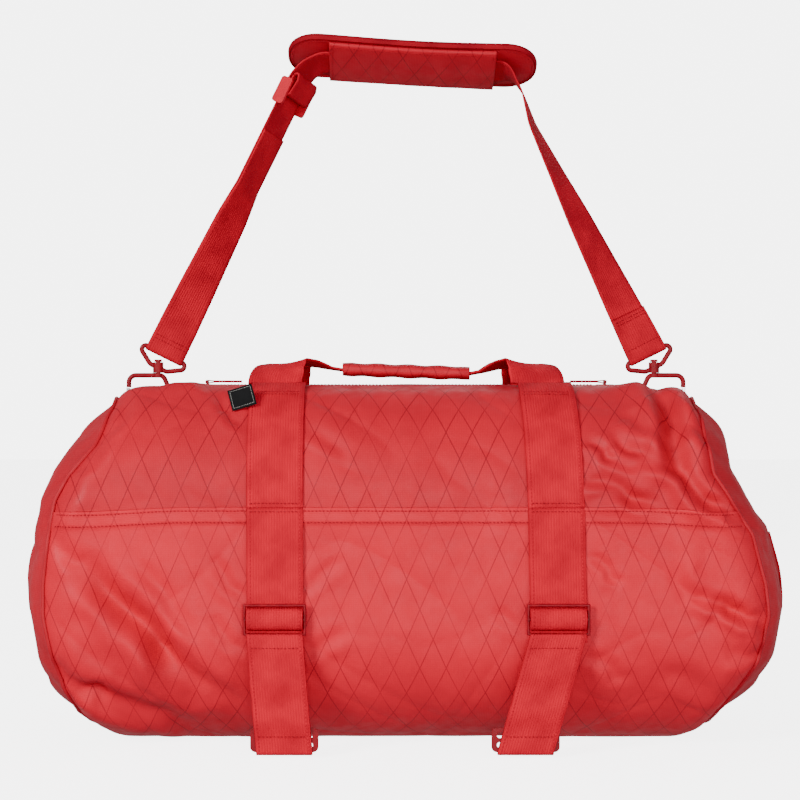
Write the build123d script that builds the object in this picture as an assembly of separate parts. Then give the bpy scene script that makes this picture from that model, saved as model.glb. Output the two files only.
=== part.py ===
from build123d import *
import math
import os

# Barrel duffel bag with adjustable lash straps, two carry handles and a clip-on shoulder strap.
# Units are millimetres. X runs along the bag, -Y is its front, +Z is up. The origin is the middle of
# the base's underside, on the surface that the bag stands on. Soft panels are thin closed solids in
# the shape that the packed bag holds; webbing is a thin ribbon along its own route.

# ---- driving dimensions -------------------------------------------------------------------------
BODY_HEIGHT = 340.0
BODY_DEPTH = 330.0
CORNER = 100.0            # long edges' radius
CLOTH = 2.4               # laminate, foam and lining together
END_OUTLINE = [(284, 0), (344, 38), (366, 108), (365, 188), (313, 280), (306, BODY_HEIGHT)]
END_RADII = [40, 50, 60, 80, 60, 30]
SEAM_Z = 227.0            # joint between the lower wrap and the upper panels
BASE_HALF = 64.0          # half width of the flat base panel

FLAP_HALF = 185.0         # half length of the two zipped flaps
FLAP_HINGE_Y = 57.0
FLAP_EDGE_GAP = 1.6       # room at the fold line, and between a flap and its frame
DIP_START = 208.0         # the top dips towards the ends, where the D-rings stand
DIP_FULL = 236.0
DIP_FLOOR = 290.0
DIP_HALF_FLOOR = 20.0
DIP_HALF_TOP = 75.0
TOP_END_HALF = 80.0

WIDE_WEB = 50.0           # handle and lash webbing
NARROW_WEB = 38.0         # shoulder webbing
WEB = 1.6
STRAP_X = 125.0           # handle legs
FRONT_X = {"left": -121.0, "right": 131.0}
LASH_X = {"left": -120.0, "right": 138.0}
LASH_LEAN = {"left": 9.0, "right": -30.0}   # how CUT each hanging end drifts sideways

LASH_Y = -171.0           # plane of the lash slide and its strap
LASH_BAR_Z = 112.5        # bar that the lash strap hangs from
LASH_WIRE = 1.4
LASH_RING_Z = 5.35        # lowest bar of the ring in the strap's fold

RING_X = 250.0            # D-ring plane
RING_WIRE = 2.2
RING_ARC = 20.0
RING_ARC_Z = 303.1
RING_BAR_Z = 296.0
HOOK_X = 246.0            # swivel axis
HOOK_WIRE = 2.4
HOOK_BOTTOM_Z = 317.6
EYE_Z = 357.0

LEG_SLOPE = 26.3          # degrees between a strap leg and the vertical
CUT = 500.0               # reach of the spaces that pieces are cut with

os.makedirs("parts", exist_ok=True)
SIDES = {"left": -1, "right": 1}


def save(name, *shapes):
    """Writes one named piece, or a set of equal pieces that belong together."""
    solids = [solid for shape in shapes for solid in shape.solids()]
    export_step(Compound(children=solids, label=name), f"parts/{name}.step")


def block(x0, x1, y0, y1, z0, z1):
    """A box from its lowest and highest corners."""
    size = Box(x1 - x0, y1 - y0, z1 - z0)
    return Pos((x0 + x1) / 2, (y0 + y1) / 2, (z0 + z1) / 2) * size


def rod(points, radii, wire, closed=False):
    """A round wire along straight runs that are joined by arcs."""
    path = FilletPolyline(*points, radius=radii, close=closed)
    section = Plane(origin=path @ 0, z_dir=path % 0) * Circle(wire)
    return sweep(section, path=path)


def ribbon(stations, thickness=WEB):
    """Webbing through stations of (centre, direction, width direction, width)."""
    faces = []
    for centre, along, across, width in stations:
        plane = Plane(origin=centre, x_dir=across, z_dir=along)
        faces.append((plane * Rectangle(width, thickness)).face())
    spans = [loft([a, b], ruled=True) for a, b in zip(faces, faces[1:])]
    return spans[0].fuse(*spans[1:]) if len(spans) > 1 else spans[0]


# ---- bag body -----------------------------------------------------------------------------------
def outline(inset):
    """The bag seen from the front, drawn in by the cloth's thickness where asked."""
    points = END_OUTLINE + [(-x, z) for x, z in reversed(END_OUTLINE)]
    radii = END_RADII + END_RADII[::-1]
    sketch = Polygon(*points, align=None)
    for (x, z), radius in zip(points, radii):
        corner = sorted(sketch.vertices(), key=lambda v: (v.X - x) ** 2 + (v.Y - z) ** 2)[0]
        sketch = fillet(corner, radius)
    if inset:
        sketch = offset(sketch, amount=-inset)
    return extrude(Plane.XZ * sketch, amount=BODY_DEPTH, both=True)


def tube(inset):
    """The bag's cross-section, run through the full length."""
    across = BODY_DEPTH - 2 * inset
    high = BODY_HEIGHT - 2 * inset
    section = Plane.YZ * Pos(0, BODY_HEIGHT / 2) * RectangleRounded(across, high, CORNER - inset)
    return extrude(section, amount=2 * END_OUTLINE[2][0], both=True)


def dip(inset):
    """The space above the sunken top at one end, which the D-ring stands in."""
    lid = BODY_HEIGHT + 5

    def section(x, floor):
        slope_top = (DIP_HALF_TOP + inset, BODY_HEIGHT - inset)
        points = [(-slope_top[0], lid), (-slope_top[0], slope_top[1])]
        points += [(-DIP_HALF_FLOOR - inset, floor), (DIP_HALF_FLOOR + inset, floor)]
        points += [slope_top, (slope_top[0], lid)]
        return (Plane.YZ.offset(x) * Polygon(*points, align=None)).face()

    shallow = section(DIP_START - inset, BODY_HEIGHT - inset - 0.3)
    deep = section(DIP_FULL - inset, DIP_FLOOR - inset)
    far = section(END_OUTLINE[2][0] + 20, DIP_FLOOR - inset)
    return loft([shallow, deep], ruled=True) + loft([deep, far], ruled=True)


def solid_bag(inset):
    """The space inside the bag's skin at a given depth."""
    right = dip(inset)
    return (tube(inset) & outline(inset)) - right - right.mirror(Plane.YZ)


skin = solid_bag(0) - solid_bag(CLOTH)
inside_ends = outline(CLOTH)
inside_ends += block(-260, 260, -CUT, CUT, -1, 2 * CLOTH)
inside_ends += block(-260, 260, -CUT, CUT, BODY_HEIGHT - 2 * CLOTH, BODY_HEIGHT + 1)
wall = skin & inside_ends
ends = skin - inside_ends
for name, side in SIDES.items():
    save(f"end_panel_{name}", ends & block(*sorted((0, side * CUT)), -CUT, CUT, -1, CUT))

lower = wall & block(-CUT, CUT, -CUT, CUT, -1, SEAM_Z)
save("base_panel", lower & block(-CUT, CUT, -BASE_HALF, BASE_HALF, -1, CORNER))
save("front_lower_panel", lower & block(-CUT, CUT, -CUT, -BASE_HALF, -1, CUT))
save("back_lower_panel", lower & block(-CUT, CUT, BASE_HALF, CUT, -1, CUT))

upper = wall & block(-CUT, CUT, -CUT, CUT, SEAM_Z, CUT)
FRAME_X = FLAP_HALF + FLAP_EDGE_GAP
frame_y = FLAP_HINGE_Y + 0.4
top_middle = block(-FRAME_X, FRAME_X, -frame_y, frame_y, DIP_FLOOR - 40, CUT)
top_ends = {
    name: block(*sorted((side * FRAME_X, side * CUT)), -TOP_END_HALF, TOP_END_HALF, SEAM_Z, CUT)
    for name, side in SIDES.items()
}
sides_only = upper - top_middle - top_ends["left"] - top_ends["right"]
save("front_upper_panel", sides_only & block(-CUT, CUT, -CUT, 0, 0, CUT))
save("back_upper_panel", sides_only & block(-CUT, CUT, 0, CUT, 0, CUT))

BOARD = 2.5
board = extrude(Plane.XY.offset(CLOTH + 0.2) * RectangleRounded(540, 120, 15), amount=BOARD)
save("base_board", board)

# ---- zip: two flaps that fold in, fixed ends and two sliders --------------------------------------
TAPE_Z = BODY_HEIGHT - CLOTH
TAPE = 0.8
TAPE_OUT = 24.0
TAPE_IN = 3.0
COIL_IN = 0.8
COIL_OUT = 4.2
COIL_UP = 1.9             # coil's height above the tape's underside
COIL_BACK = 0.6


def tape_and_coil(x0, x1, side):
    """One side's zip tape and coil between two places along the bag."""
    tape = block(x0, x1, *sorted((side * TAPE_IN, side * TAPE_OUT)), TAPE_Z - TAPE, TAPE_Z)
    coil = block(x0, x1, *sorted((side * COIL_IN, side * COIL_OUT)),
                 TAPE_Z - TAPE - COIL_BACK, TAPE_Z - TAPE + COIL_UP)
    return tape - coil, coil


for name, side in {"front": -1, "back": 1}.items():
    hinge_edge = FLAP_HINGE_Y - FLAP_EDGE_GAP
    flap = block(-FLAP_HALF, FLAP_HALF, *sorted((side * 12.0, side * hinge_edge)),
                 BODY_HEIGHT - CLOTH, BODY_HEIGHT)
    tape, coil = tape_and_coil(-FLAP_HALF, FLAP_HALF, side)
    save(f"{name}_flap", flap)
    save(f"{name}_zip_tape", tape)
    save(f"{name}_zip_coil", coil)

STUB_END = DIP_START - 3.0
zip_ends = []
for name, side in SIDES.items():
    slot = block(*sorted((side * (FRAME_X - 1), side * STUB_END)), -12, 12, DIP_FLOOR, CUT)
    save(f"top_end_{name}", (upper & top_ends[name]) - slot)
    x0, x1 = sorted((side * FRAME_X, side * STUB_END))
    pieces = [piece for row in (-1, 1) for piece in tape_and_coil(x0, x1, row)]
    stop = block(*sorted((side * (STUB_END - 1.5), side * STUB_END)), -COIL_IN, COIL_IN,
                 TAPE_Z - TAPE, TAPE_Z)
    joined = stop
    for piece in pieces:
        joined += piece
    zip_ends.append(joined)
save("zip_ends", *zip_ends)

SLIDER_X = 197.0
SLIDER_LONG = 16.0
SLIDER_WIDE = 11.0
PULL_LONG = 34.0
PULL_PIN_Z = TAPE_Z + 5.4
for name, side in SIDES.items():
    at = side * SLIDER_X
    half = SLIDER_LONG / 2
    top_z = TAPE_Z - TAPE + COIL_UP + 0.4
    low_z = TAPE_Z - TAPE - COIL_BACK - 0.4
    plates = block(at - half, at + half, -SLIDER_WIDE / 2, SLIDER_WIDE / 2, top_z, top_z + 1.5)
    plates += block(at - half, at + half, -SLIDER_WIDE / 2, SLIDER_WIDE / 2, low_z - 1.5, low_z)
    neck = block(at - 5, at + 5, -0.45, 0.45, low_z - 0.5, top_z + 0.5)
    pin = Pos(at, 0, PULL_PIN_Z) * Rot(90, 0, 0) * Cylinder(0.8, 6.0)
    posts = [block(at - 1.2, at + 1.2, *sorted((s * 2.2, s * 3.6)), top_z + 1, PULL_PIN_Z + 1.2)
             for s in (-1, 1)]
    save(f"zip_slider_{name}", plates + neck + pin + posts[0] + posts[1])
    # the pull lies towards the middle of the bag at rest
    reach = -side
    x0, x1 = sorted((at - reach * 2.0, at + reach * PULL_LONG))
    tab = block(x0, x1, -1.7, 1.7, PULL_PIN_Z - 0.9, PULL_PIN_Z + 1.6)
    x0, x1 = sorted((at + reach * 6.0, at + reach * PULL_LONG))
    tab += block(x0, x1, -4.0, 4.0, PULL_PIN_Z - 0.9, PULL_PIN_Z + 1.6)
    hole = Pos(at, 0, PULL_PIN_Z) * Rot(90, 0, 0) * Cylinder(0.88, 12.0)
    save(f"zip_pull_{name}", tab - hole)

# ---- webbing sewn to the body ---------------------------------------------------------------------
HANDLE_Y = 76.0           # where a handle leaves the bag's top


def strap_on_body(x, keep):
    """Webbing laid on the tube, where the given space keeps it."""
    return (tube(-WEB) - tube(0)) & block(x - WIDE_WEB / 2, x + WIDE_WEB / 2, -CUT, CUT, -CUT, CUT) & keep


runs = {
    "front_webbing": (FRONT_X, block(-CUT, CUT, -CUT, -HANDLE_Y, SEAM_Z, CUT)),
    "lash_anchors": (LASH_X, block(-CUT, CUT, -CUT, -CORNER, 104, SEAM_Z - 0.4)),
    "back_webbing": ({"left": -STRAP_X, "right": STRAP_X},
                     block(-CUT, CUT, HANDLE_Y, CUT, 60, CUT)),
}
for name, (places, space) in runs.items():
    save(name, *[strap_on_body(x, space) for x in places.values()])

LABEL_X = -162.0
label_space = block(LABEL_X - 12, LABEL_X + 12, -140, -116, SEAM_Z, CUT)
save("woven_label", (tube(-1.0) - tube(0)) & label_space)

# ---- carry handles --------------------------------------------------------------------------------
GRIP_HALF = 62.0
GRIP_Y = 23.0
GRIP_Z = 357.5


def handle(side):
    """One handle: two legs that rise from the bag and turn in to a folded grip."""
    legs = []
    for s in (-1, 1):
        stations = [
            ((s * STRAP_X, side * (HANDLE_Y + 0.5), 342.4), (0, -side, 0.45), (1, 0, 0), 50),
            ((s * 122, side * 63, 353), (-s * 0.15, -side, 0.8), (1, 0, 0), 50),
            ((s * 112, side * 50, 361.5), (-s * 0.6, -side, 0.2), (1, -s * side * 0.5, 0), 44),
            ((s * 96, side * 36, 362), (-s, -side * 0.8, -0.1), (1, -s * side * 1.2, 0), 36),
            ((s * 78, side * 26, 359.5), (-s, -side * 0.3, -0.15), (0.3, -s * side, 0), 30),
            ((s * 60, side * GRIP_Y, GRIP_Z), (-s, 0, 0), (0, -s * side, 0), 28),
        ]
        legs.append(ribbon(stations, 2.0))
    y0, y1 = sorted((side * (GRIP_Y - 14), side * (GRIP_Y + 14)))
    middle = block(-60, 60, y0, y1, GRIP_Z - 1.0, GRIP_Z + 1.0)
    return legs[0] + middle + legs[1]


WRAP_ROOM = 0.3


def grip(side):
    """Padded sleeve round a handle's middle."""
    y = side * GRIP_Y
    outer = extrude(Plane.YZ.offset(-GRIP_HALF) * Pos(y, GRIP_Z + 0.6) * RectangleRounded(37, 14, 6.5),
                    amount=2 * GRIP_HALF)
    bore = block(-GRIP_HALF, GRIP_HALF, y - 14 - WRAP_ROOM, y + 14 + WRAP_ROOM,
                 GRIP_Z - 1 - WRAP_ROOM, GRIP_Z + 1 + WRAP_ROOM)
    flare = [ribbon([((s * GRIP_HALF, y, GRIP_Z), (s, 0, 0), (0, 1, 0), 29),
                     ((s * 52, y, GRIP_Z), (s, 0, 0), (0, 1, 0), 29)], 3.4) for s in (-1, 1)]
    return outer - bore - flare[0] - flare[1]


save("front_handle_webbing", handle(-1))
save("back_handle_webbing", handle(1))
save("front_grip_wrap", grip(-1))

# ---- lash straps ----------------------------------------------------------------------------------
LASH_WEB = 1.5
FRAME_HALF = WIDE_WEB / 2 + 1.0 + LASH_WIRE
ROLL_Z = LASH_BAR_Z + 13.3
ROLL_HIGH = 9.2
ROLL_DEEP = 6.0
TOP_BAR_Z = LASH_BAR_Z + 26.0


def across_x(x, sketch):
    """A Y-Z outline given the webbing's width about a place along X."""
    return extrude(Plane.YZ.offset(x - WIDE_WEB / 2) * sketch, amount=WIDE_WEB)


for name, x in LASH_X.items():
    bars = []
    for z in (LASH_BAR_Z, ROLL_Z, TOP_BAR_Z):
        bars.append(Pos(x, LASH_Y, z) * Rot(0, 90, 0) * Cylinder(LASH_WIRE, 2 * FRAME_HALF))
    for s in (-1, 1):
        rail = Pos(x + s * FRAME_HALF, LASH_Y, (LASH_BAR_Z + TOP_BAR_Z) / 2)
        bars.append(rail * Cylinder(LASH_WIRE, TOP_BAR_Z - LASH_BAR_Z))
        for z in (LASH_BAR_Z, TOP_BAR_Z):
            bars.append(Pos(x + s * FRAME_HALF, LASH_Y, z) * Sphere(LASH_WIRE))
    slide = bars[0]
    for bar in bars[1:]:
        slide += bar
    save(f"lash_slide_{name}", slide)

    bulge = Pos(LASH_Y + 1.0, ROLL_Z) * (Ellipse(ROLL_DEEP, ROLL_HIGH)
                                         - Ellipse(ROLL_DEEP - LASH_WEB, ROLL_HIGH - LASH_WEB))
    save(f"lash_roll_{name}", across_x(x, bulge) & block(-CUT, CUT, -CUT, LASH_Y + 1.0, 0, CUT))

    inner = LASH_WIRE + 0.25
    outer = inner + LASH_WEB
    fold_z = LASH_RING_Z + 0.15
    end_x = x + LASH_LEAN[name]
    fold = Circle(outer) - Circle(inner)
    strap = across_x(x, Pos(LASH_Y, LASH_BAR_Z) * fold) & block(-CUT, CUT, -CUT, CUT, LASH_BAR_Z, CUT)
    strap += across_x(end_x, Pos(LASH_Y, fold_z) * fold) & block(-CUT, CUT, -CUT, CUT, -1, fold_z)
    for s in (-1, 1):
        y = LASH_Y + s * (inner + LASH_WEB / 2)
        ends = [(Plane(origin=(at_x, y, z)) * Rectangle(WIDE_WEB, LASH_WEB)).face()
                for at_x, z in ((end_x, fold_z), (x, LASH_BAR_Z))]
        strap += loft(ends, ruled=True)
    save(f"lash_strap_{name}", strap)

    plate = Pos(end_x, fold_z + 11) * (RectangleRounded(62, 22, 5)
                                         - Pos(0, 4.2) * RectangleRounded(52, 5.4, 2.5)
                                         - Pos(0, -4.6) * RectangleRounded(52, 5.4, 2.5))
    ring = extrude(Plane.XZ.offset(-LASH_Y - LASH_WIRE) * plate, amount=2 * LASH_WIRE)
    save(f"lash_ring_{name}", ring)

# ---- D-rings and their tabs -----------------------------------------------------------------------
ring_tabs = []
for name, side in SIDES.items():
    x = side * RING_X
    half = RING_ARC
    arc = Edge.make_three_point_arc((x, -half, RING_ARC_Z), (x, 0, RING_ARC_Z + half),
                                    (x, half, RING_ARC_Z))
    bow = sweep(Plane(origin=(x, -half, RING_ARC_Z), z_dir=(0, 0, 1)) * Circle(RING_WIRE),
                path=Wire([arc]))
    ring = bow
    for s in (-1, 1):
        ring += Pos(x, s * half, (RING_ARC_Z + RING_BAR_Z) / 2) * Cylinder(
            RING_WIRE, RING_ARC_Z - RING_BAR_Z)
        ring += Pos(x, s * half, RING_BAR_Z) * Sphere(RING_WIRE)
    ring += Pos(x, 0, RING_BAR_Z) * Rot(90, 0, 0) * Cylinder(RING_WIRE, 2 * half)
    save(f"d_ring_{name}", ring)

    hug = RING_WIRE + 0.25
    tab_half = 17.0
    eye = Circle(hug + WEB) - Circle(hug)
    sleeve = extrude(Plane.XZ.offset(-tab_half) * Pos(x, RING_BAR_Z) * eye, amount=2 * tab_half)
    floor = DIP_FLOOR + 0.2
    x0, x1 = sorted((x + side * 3.0, x + side * 46))
    tail = block(x0, x1, -tab_half, tab_half, floor, floor + 2 * WEB)
    tail -= Pos(x, 0, RING_BAR_Z) * Rot(90, 0, 0) * Cylinder(hug + 0.05, 3 * tab_half)
    ring_tabs.append(sleeve + tail)
save("d_ring_tabs", *ring_tabs)

# ---- snap hooks: eye, hook and gate ---------------------------------------------------------------
slope = math.radians(LEG_SLOPE)
POST = 2.2
GATE_PIN = 1.1


def leg_point(side, along, across=0.0, out=0.0):
    """A place on a strap leg, from its swivel: along the leg, across it and towards the back."""
    x = HOOK_X - along * math.sin(slope) + across * math.cos(slope)
    z = EYE_Z + along * math.cos(slope) + across * math.sin(slope)
    return (side * x, out, z)


for name, side in SIDES.items():
    corners = [leg_point(side, a, c) for c, a in ((33, 15), (-33, 15), (-9, 0), (9, 0))]
    eye = rod(corners, [4, 4, 8, 8], HOOK_WIRE, closed=True)
    px = side * HOOK_X
    eye += Pos(px, 0, EYE_Z + 0.2) * Cylinder(5.2, 10.4)
    eye -= Pos(px, 0, EYE_Z) * Cylinder(POST + 0.08, 30)
    save(f"swivel_eye_{name}", eye)

    def at(outward, z):
        return (side * (HOOK_X + outward), 0, z)

    path = [at(29, 337.5), at(29, 349.5), at(-5, 349.5), at(-19, HOOK_BOTTOM_Z),
            at(27, HOOK_BOTTOM_Z), at(30.5, 323.0)]
    hook = rod(path, [7, 6, 7, 3], HOOK_WIRE)
    hinge = at(30.5, 323.5)
    hook -= Pos(*hinge) * Box(11, 20, 8) - Pos(*hinge) * Box(11, 3.0, 8)
    hook += Pos(*hinge) * Rot(90, 0, 0) * Cylinder(2.6, 3.0)
    hook += Pos(*hinge) * Rot(90, 0, 0) * Cylinder(GATE_PIN, 7.6)
    hook += Pos(px, 0, 349.5) * Cylinder(4.4, 4.0)
    hook += Pos(px, 0, 357.5) * Cylinder(POST, 14)
    hook += Pos(px, 0, 364.0) * Cylinder(3.7, 2.4)
    save(f"snap_hook_{name}", hook)

    gate = Pos(*at(29.6, 330.4)) * Box(3.4, 4.0, 13.2)
    for s in (-1, 1):
        ear = Pos(*at(30.5, 323.5)) * Pos(0, s * 2.6, 0) * Rot(90, 0, 0) * Cylinder(2.4, 1.8)
        gate += ear
        gate += Pos(*at(30.0, 326.0)) * Pos(0, s * 2.6, 0) * Box(3.4, 1.8, 5.0)
    gate -= Pos(*hinge) * Rot(90, 0, 0) * Cylinder(2.9, 3.3)
    gate -= Pos(*hinge) * Rot(90, 0, 0) * Cylinder(GATE_PIN + 0.08, 20)
    save(f"hook_gate_{name}", gate)

# ---- shoulder strap -------------------------------------------------------------------------------
BAR_ALONG = 15.0          # the eye's webbing bar, along the leg
LAYER = HOOK_WIRE + 0.3 + WEB / 2
LAID = WEB / 2 + 0.2      # two layers of webbing that lie on each other
ADJUSTER_ALONG = 300.0
SLEEVE_LONG = 164.0
PAD_LONG = 244.0
PAD_WIDE = 68.0
PAD_THICK = 7.0
PAD_TILT = math.radians(23.0)
TOP_LEFT = (-84.0, 0.0, 660.0)
TOP_RIGHT = (96.0, 0.0, 651.0)
TWISTS = {"left": [(15, 0), (42, 12), (60, 22), (115, 37), (165, 47), (200, 62), (258, 62),
                  (318, 62)],
          "right": [(15, 0), (42, 12), (60, 20), (115, 36), (165, 47), (215, 62), (270, 75)]}


def unit(v):
    size = math.sqrt(sum(c * c for c in v))
    return tuple(c / size for c in v)


def cross(a, b):
    return (a[1] * b[2] - a[2] * b[1], a[2] * b[0] - a[0] * b[2], a[0] * b[1] - a[1] * b[0])


def squared(v, along):
    """The part of a direction that is square to another."""
    share = sum(a * b for a, b in zip(v, along))
    return unit(tuple(a - share * b for a, b in zip(v, along)))


def moved(point, *steps):
    """A point moved by (direction, distance) steps."""
    for direction, distance in steps:
        point = tuple(p + distance * d for p, d in zip(point, direction))
    return point


pad_along = unit(tuple(b - a for a, b in zip(TOP_LEFT, TOP_RIGHT)))
pad_face = squared((0, -math.sin(PAD_TILT), -math.cos(PAD_TILT)), pad_along)
pad_across = cross(pad_along, pad_face)
pad_middle = moved(TOP_LEFT, (pad_along, math.dist(TOP_LEFT, TOP_RIGHT) / 2))


def leg_axes(side, twist):
    """Along a leg, across its webbing and out of its face, for a twist in degrees."""
    up = (-side * math.sin(slope), 0, math.cos(slope))
    flat = (side * math.cos(slope), 0, math.sin(slope))
    turn = math.radians(twist)
    across = tuple(f * math.cos(turn) + y * math.sin(turn) for f, y in zip(flat, (0, side, 0)))
    return up, across, unit(cross(up, across))


def leg_station(name, along, twist, shift):
    """One section of a leg's webbing; shift moves it off the leg's own line."""
    side = SIDES[name]
    up, across, face = leg_axes(side, twist)
    return moved(leg_point(side, along), (face, shift)), up, across, NARROW_WEB


def leg_layer(name, which, top):
    """One layer's sections, from the eye's bar to a place on the leg."""
    stations = []
    for along, twist in TWISTS[name]:
        if along <= top:
            away = LAYER if along == BAR_ALONG else LAID
            stations.append(leg_station(name, along, twist, which * away))
    return stations


def turned(stations):
    """The same sections, followed the other way."""
    return [(c, tuple(-a for a in along), tuple(-a for a in across), w)
            for c, along, across, w in reversed(stations)]


def bend(centre, along, across):
    along = unit(along)
    return centre, along, squared(across, along), NARROW_WEB


back = tuple(-a for a in pad_across)
over = [bend((-97, 0, 653), (0.82, 0, 0.57), (-0.25, -0.9, 0.33)),
        (TOP_LEFT, pad_along, back, NARROW_WEB), (TOP_RIGHT, pad_along, back, NARROW_WEB),
        bend((106, 0, 646), (0.88, 0, -0.47), (-0.1, -0.95, 0.1)),
        bend((116, 0, 630), (0.58, 0, -0.81), (-0.1, -1, -0.05))]
long_web = leg_layer("left", -1, 320) + over + turned(leg_layer("right", 1, 300))
save("shoulder_webbing", ribbon(long_web))

for name, side in SIDES.items():
    top = 258 if side < 0 else 60
    up, across, face = leg_axes(side, 0)
    ring_plane = Plane(origin=leg_point(side, BAR_ALONG), x_dir=up, z_dir=across)
    ring = extrude(ring_plane.offset(-NARROW_WEB / 2) * (Circle(LAYER + WEB / 2) - Circle(LAYER - WEB / 2)),
                   amount=NARROW_WEB)
    lower_half = extrude(ring_plane.offset(-NARROW_WEB / 2) * Pos(-10, 0) * Rectangle(20, 20),
                         amount=NARROW_WEB)
    save(f"webbing_fold_{name}", (ring & lower_half) + ribbon(leg_layer(name, -side, top)))

# length adjuster: outer bars behind the webbing, middle bar and its sewn loop in front
BUCKLE_WIRE = 1.5
up, across, face = leg_axes(-1, 62)
middle = leg_point(-1, ADJUSTER_ALONG)
BUCKLE_HALF = NARROW_WEB / 2 + 0.8 + BUCKLE_WIRE
outer_n = -(LAID + WEB / 2 + 0.3 + BUCKLE_WIRE)
LOOP_IN = BUCKLE_WIRE + 0.25
inner_n = LAID + WEB / 2 + 0.3 + LOOP_IN + WEB


def buckle_rod(along, out, radius):
    place = moved(middle, (up, along), (face, out), (across, -BUCKLE_HALF))
    return extrude(Plane(origin=place, z_dir=across) * Circle(radius), amount=2 * BUCKLE_HALF)


buckle = buckle_rod(-11, outer_n, BUCKLE_WIRE) + buckle_rod(11, outer_n, BUCKLE_WIRE)
buckle += buckle_rod(0, inner_n, BUCKLE_WIRE)
for s in (-1, 1):
    start = moved(middle, (across, s * BUCKLE_HALF - BUCKLE_WIRE), (face, (outer_n + inner_n) / 2))
    cheek = Plane(origin=start, x_dir=up, z_dir=across)
    high = inner_n - outer_n + 2 * BUCKLE_WIRE + 1
    buckle += extrude(cheek * RectangleRounded(27, high, 3), amount=2 * BUCKLE_WIRE)
save("strap_adjuster", buckle)

start = moved(middle, (across, -NARROW_WEB / 2), (face, inner_n), (up, 9))
loop_plane = Plane(origin=start, x_dir=up, z_dir=across)
loop = (SlotCenterToCenter(18, 2 * (LOOP_IN + WEB)) - SlotCenterToCenter(18, 2 * LOOP_IN))
save("adjuster_loop", extrude(loop_plane * loop, amount=NARROW_WEB))

PAD_GAP = WEB / 2 + 0.5
PAD_LIFT = 2.0            # keeps the foam off the webbing's bend
SLEEVE = 0.9


def pad_sketch_plane(out):
    return Plane(origin=moved(pad_middle, (pad_face, out)), x_dir=pad_along, z_dir=pad_face)


foam = extrude(pad_sketch_plane(-PAD_GAP - PAD_LIFT - PAD_THICK) * RectangleRounded(PAD_LONG, PAD_WIDE, 31),
               amount=PAD_THICK)
save("pad_foam", foam)
edge = RectangleRounded(PAD_LONG + 3, PAD_WIDE + 3, 32.5) - RectangleRounded(PAD_LONG, PAD_WIDE, 31)
save("pad_binding", extrude(pad_sketch_plane(-PAD_GAP - PAD_LIFT - PAD_THICK - 0.5) * edge,
                            amount=PAD_THICK + 1))
sleeve_deep = 2 * PAD_GAP + PAD_LIFT
sleeve = extrude(pad_sketch_plane(-PAD_GAP - PAD_LIFT) * Rectangle(SLEEVE_LONG, PAD_WIDE - 2.2),
                 amount=sleeve_deep + SLEEVE)
sleeve -= extrude(pad_sketch_plane(-PAD_GAP - PAD_LIFT)
                  * Rectangle(SLEEVE_LONG, PAD_WIDE - 2.2 - 2 * SLEEVE), amount=sleeve_deep)
save("pad_sleeve", sleeve)

# ---- grab straps on the ends ----------------------------------------------------------------------
grab_space = block(-CUT, CUT, -15, 15, 85, 195)
save("end_grab_straps", (outline(-WEB) - outline(0)) & grab_space)
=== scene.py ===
import math

import bpy
import numpy as np
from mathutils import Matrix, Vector


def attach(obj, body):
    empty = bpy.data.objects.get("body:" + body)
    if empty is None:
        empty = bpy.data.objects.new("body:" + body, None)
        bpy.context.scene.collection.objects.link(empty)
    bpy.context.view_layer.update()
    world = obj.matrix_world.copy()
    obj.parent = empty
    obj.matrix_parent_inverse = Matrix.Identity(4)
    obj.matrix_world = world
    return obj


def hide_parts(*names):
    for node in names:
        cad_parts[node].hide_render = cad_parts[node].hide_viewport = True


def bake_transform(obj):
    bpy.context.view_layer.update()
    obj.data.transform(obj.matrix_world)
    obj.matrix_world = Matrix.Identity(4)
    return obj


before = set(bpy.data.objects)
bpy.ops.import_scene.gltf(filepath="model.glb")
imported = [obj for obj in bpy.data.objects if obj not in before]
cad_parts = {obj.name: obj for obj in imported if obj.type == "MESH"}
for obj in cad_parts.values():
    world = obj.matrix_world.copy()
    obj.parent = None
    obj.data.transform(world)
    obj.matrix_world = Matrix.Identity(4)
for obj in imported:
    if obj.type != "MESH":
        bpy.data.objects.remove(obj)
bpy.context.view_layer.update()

RNG = np.random.default_rng(7)
WORDS = {"left": -1, "right": 1}
SIDE_NAMES = {-1: "front", 1: "back"}
WIDE, NARROW = 0.050, 0.038      # widths of the two webbings

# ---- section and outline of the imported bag, in metres
HIGH = 0.340
HALF_DEEP = 0.165
LOW_R = 0.118
TOP_R = 0.105
FLAT_LOW = HALF_DEEP - LOW_R
SIDE_HIGH = HIGH - LOW_R - TOP_R
FLAT_TOP = HALF_DEEP - TOP_R
RUNS = np.cumsum([0, FLAT_LOW, LOW_R * math.pi / 2, SIDE_HIGH, TOP_R * math.pi / 2, FLAT_TOP])
HALF_RUN = float(RUNS[-1])
SEAM_HIGH = 0.227
SEAM_RUN = float(RUNS[2]) + SEAM_HIGH - LOW_R
FOLD_RUN = HALF_RUN - 0.0574     # where a flap folds
END_ROUND = 0.030                # reach of the roll into an end seam
SHOULDER_RUN, SHOULDER_BULGE = 0.487, 0.0045
MM = 0.001
FOLD_GAIN = 1.25                 # the cloth stands this much more than the listed depths
LOWEST = 0.0006                  # the cloth's clearance over the floor

LEFT_OUTLINE = [(0.0, .318), (.008, .331), (.022, .344), (.052, .357), (.082, .365), (.127, .373),
                (.156, .373), (.201, .368), (.231, .363), (.260, .350), (.290, .328), (.320, .317),
                (.335, .308), (.345, .300)]
RIGHT_OUTLINE = [(0.0, .305), (.008, .318), (.022, .328), (.052, .348), (.082, .363), (.127, .372),
                 (.156, .369), (.201, .357), (.231, .338), (.260, .322), (.290, .317), (.320, .313),
                 (.335, .304), (.345, .296)]


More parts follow.
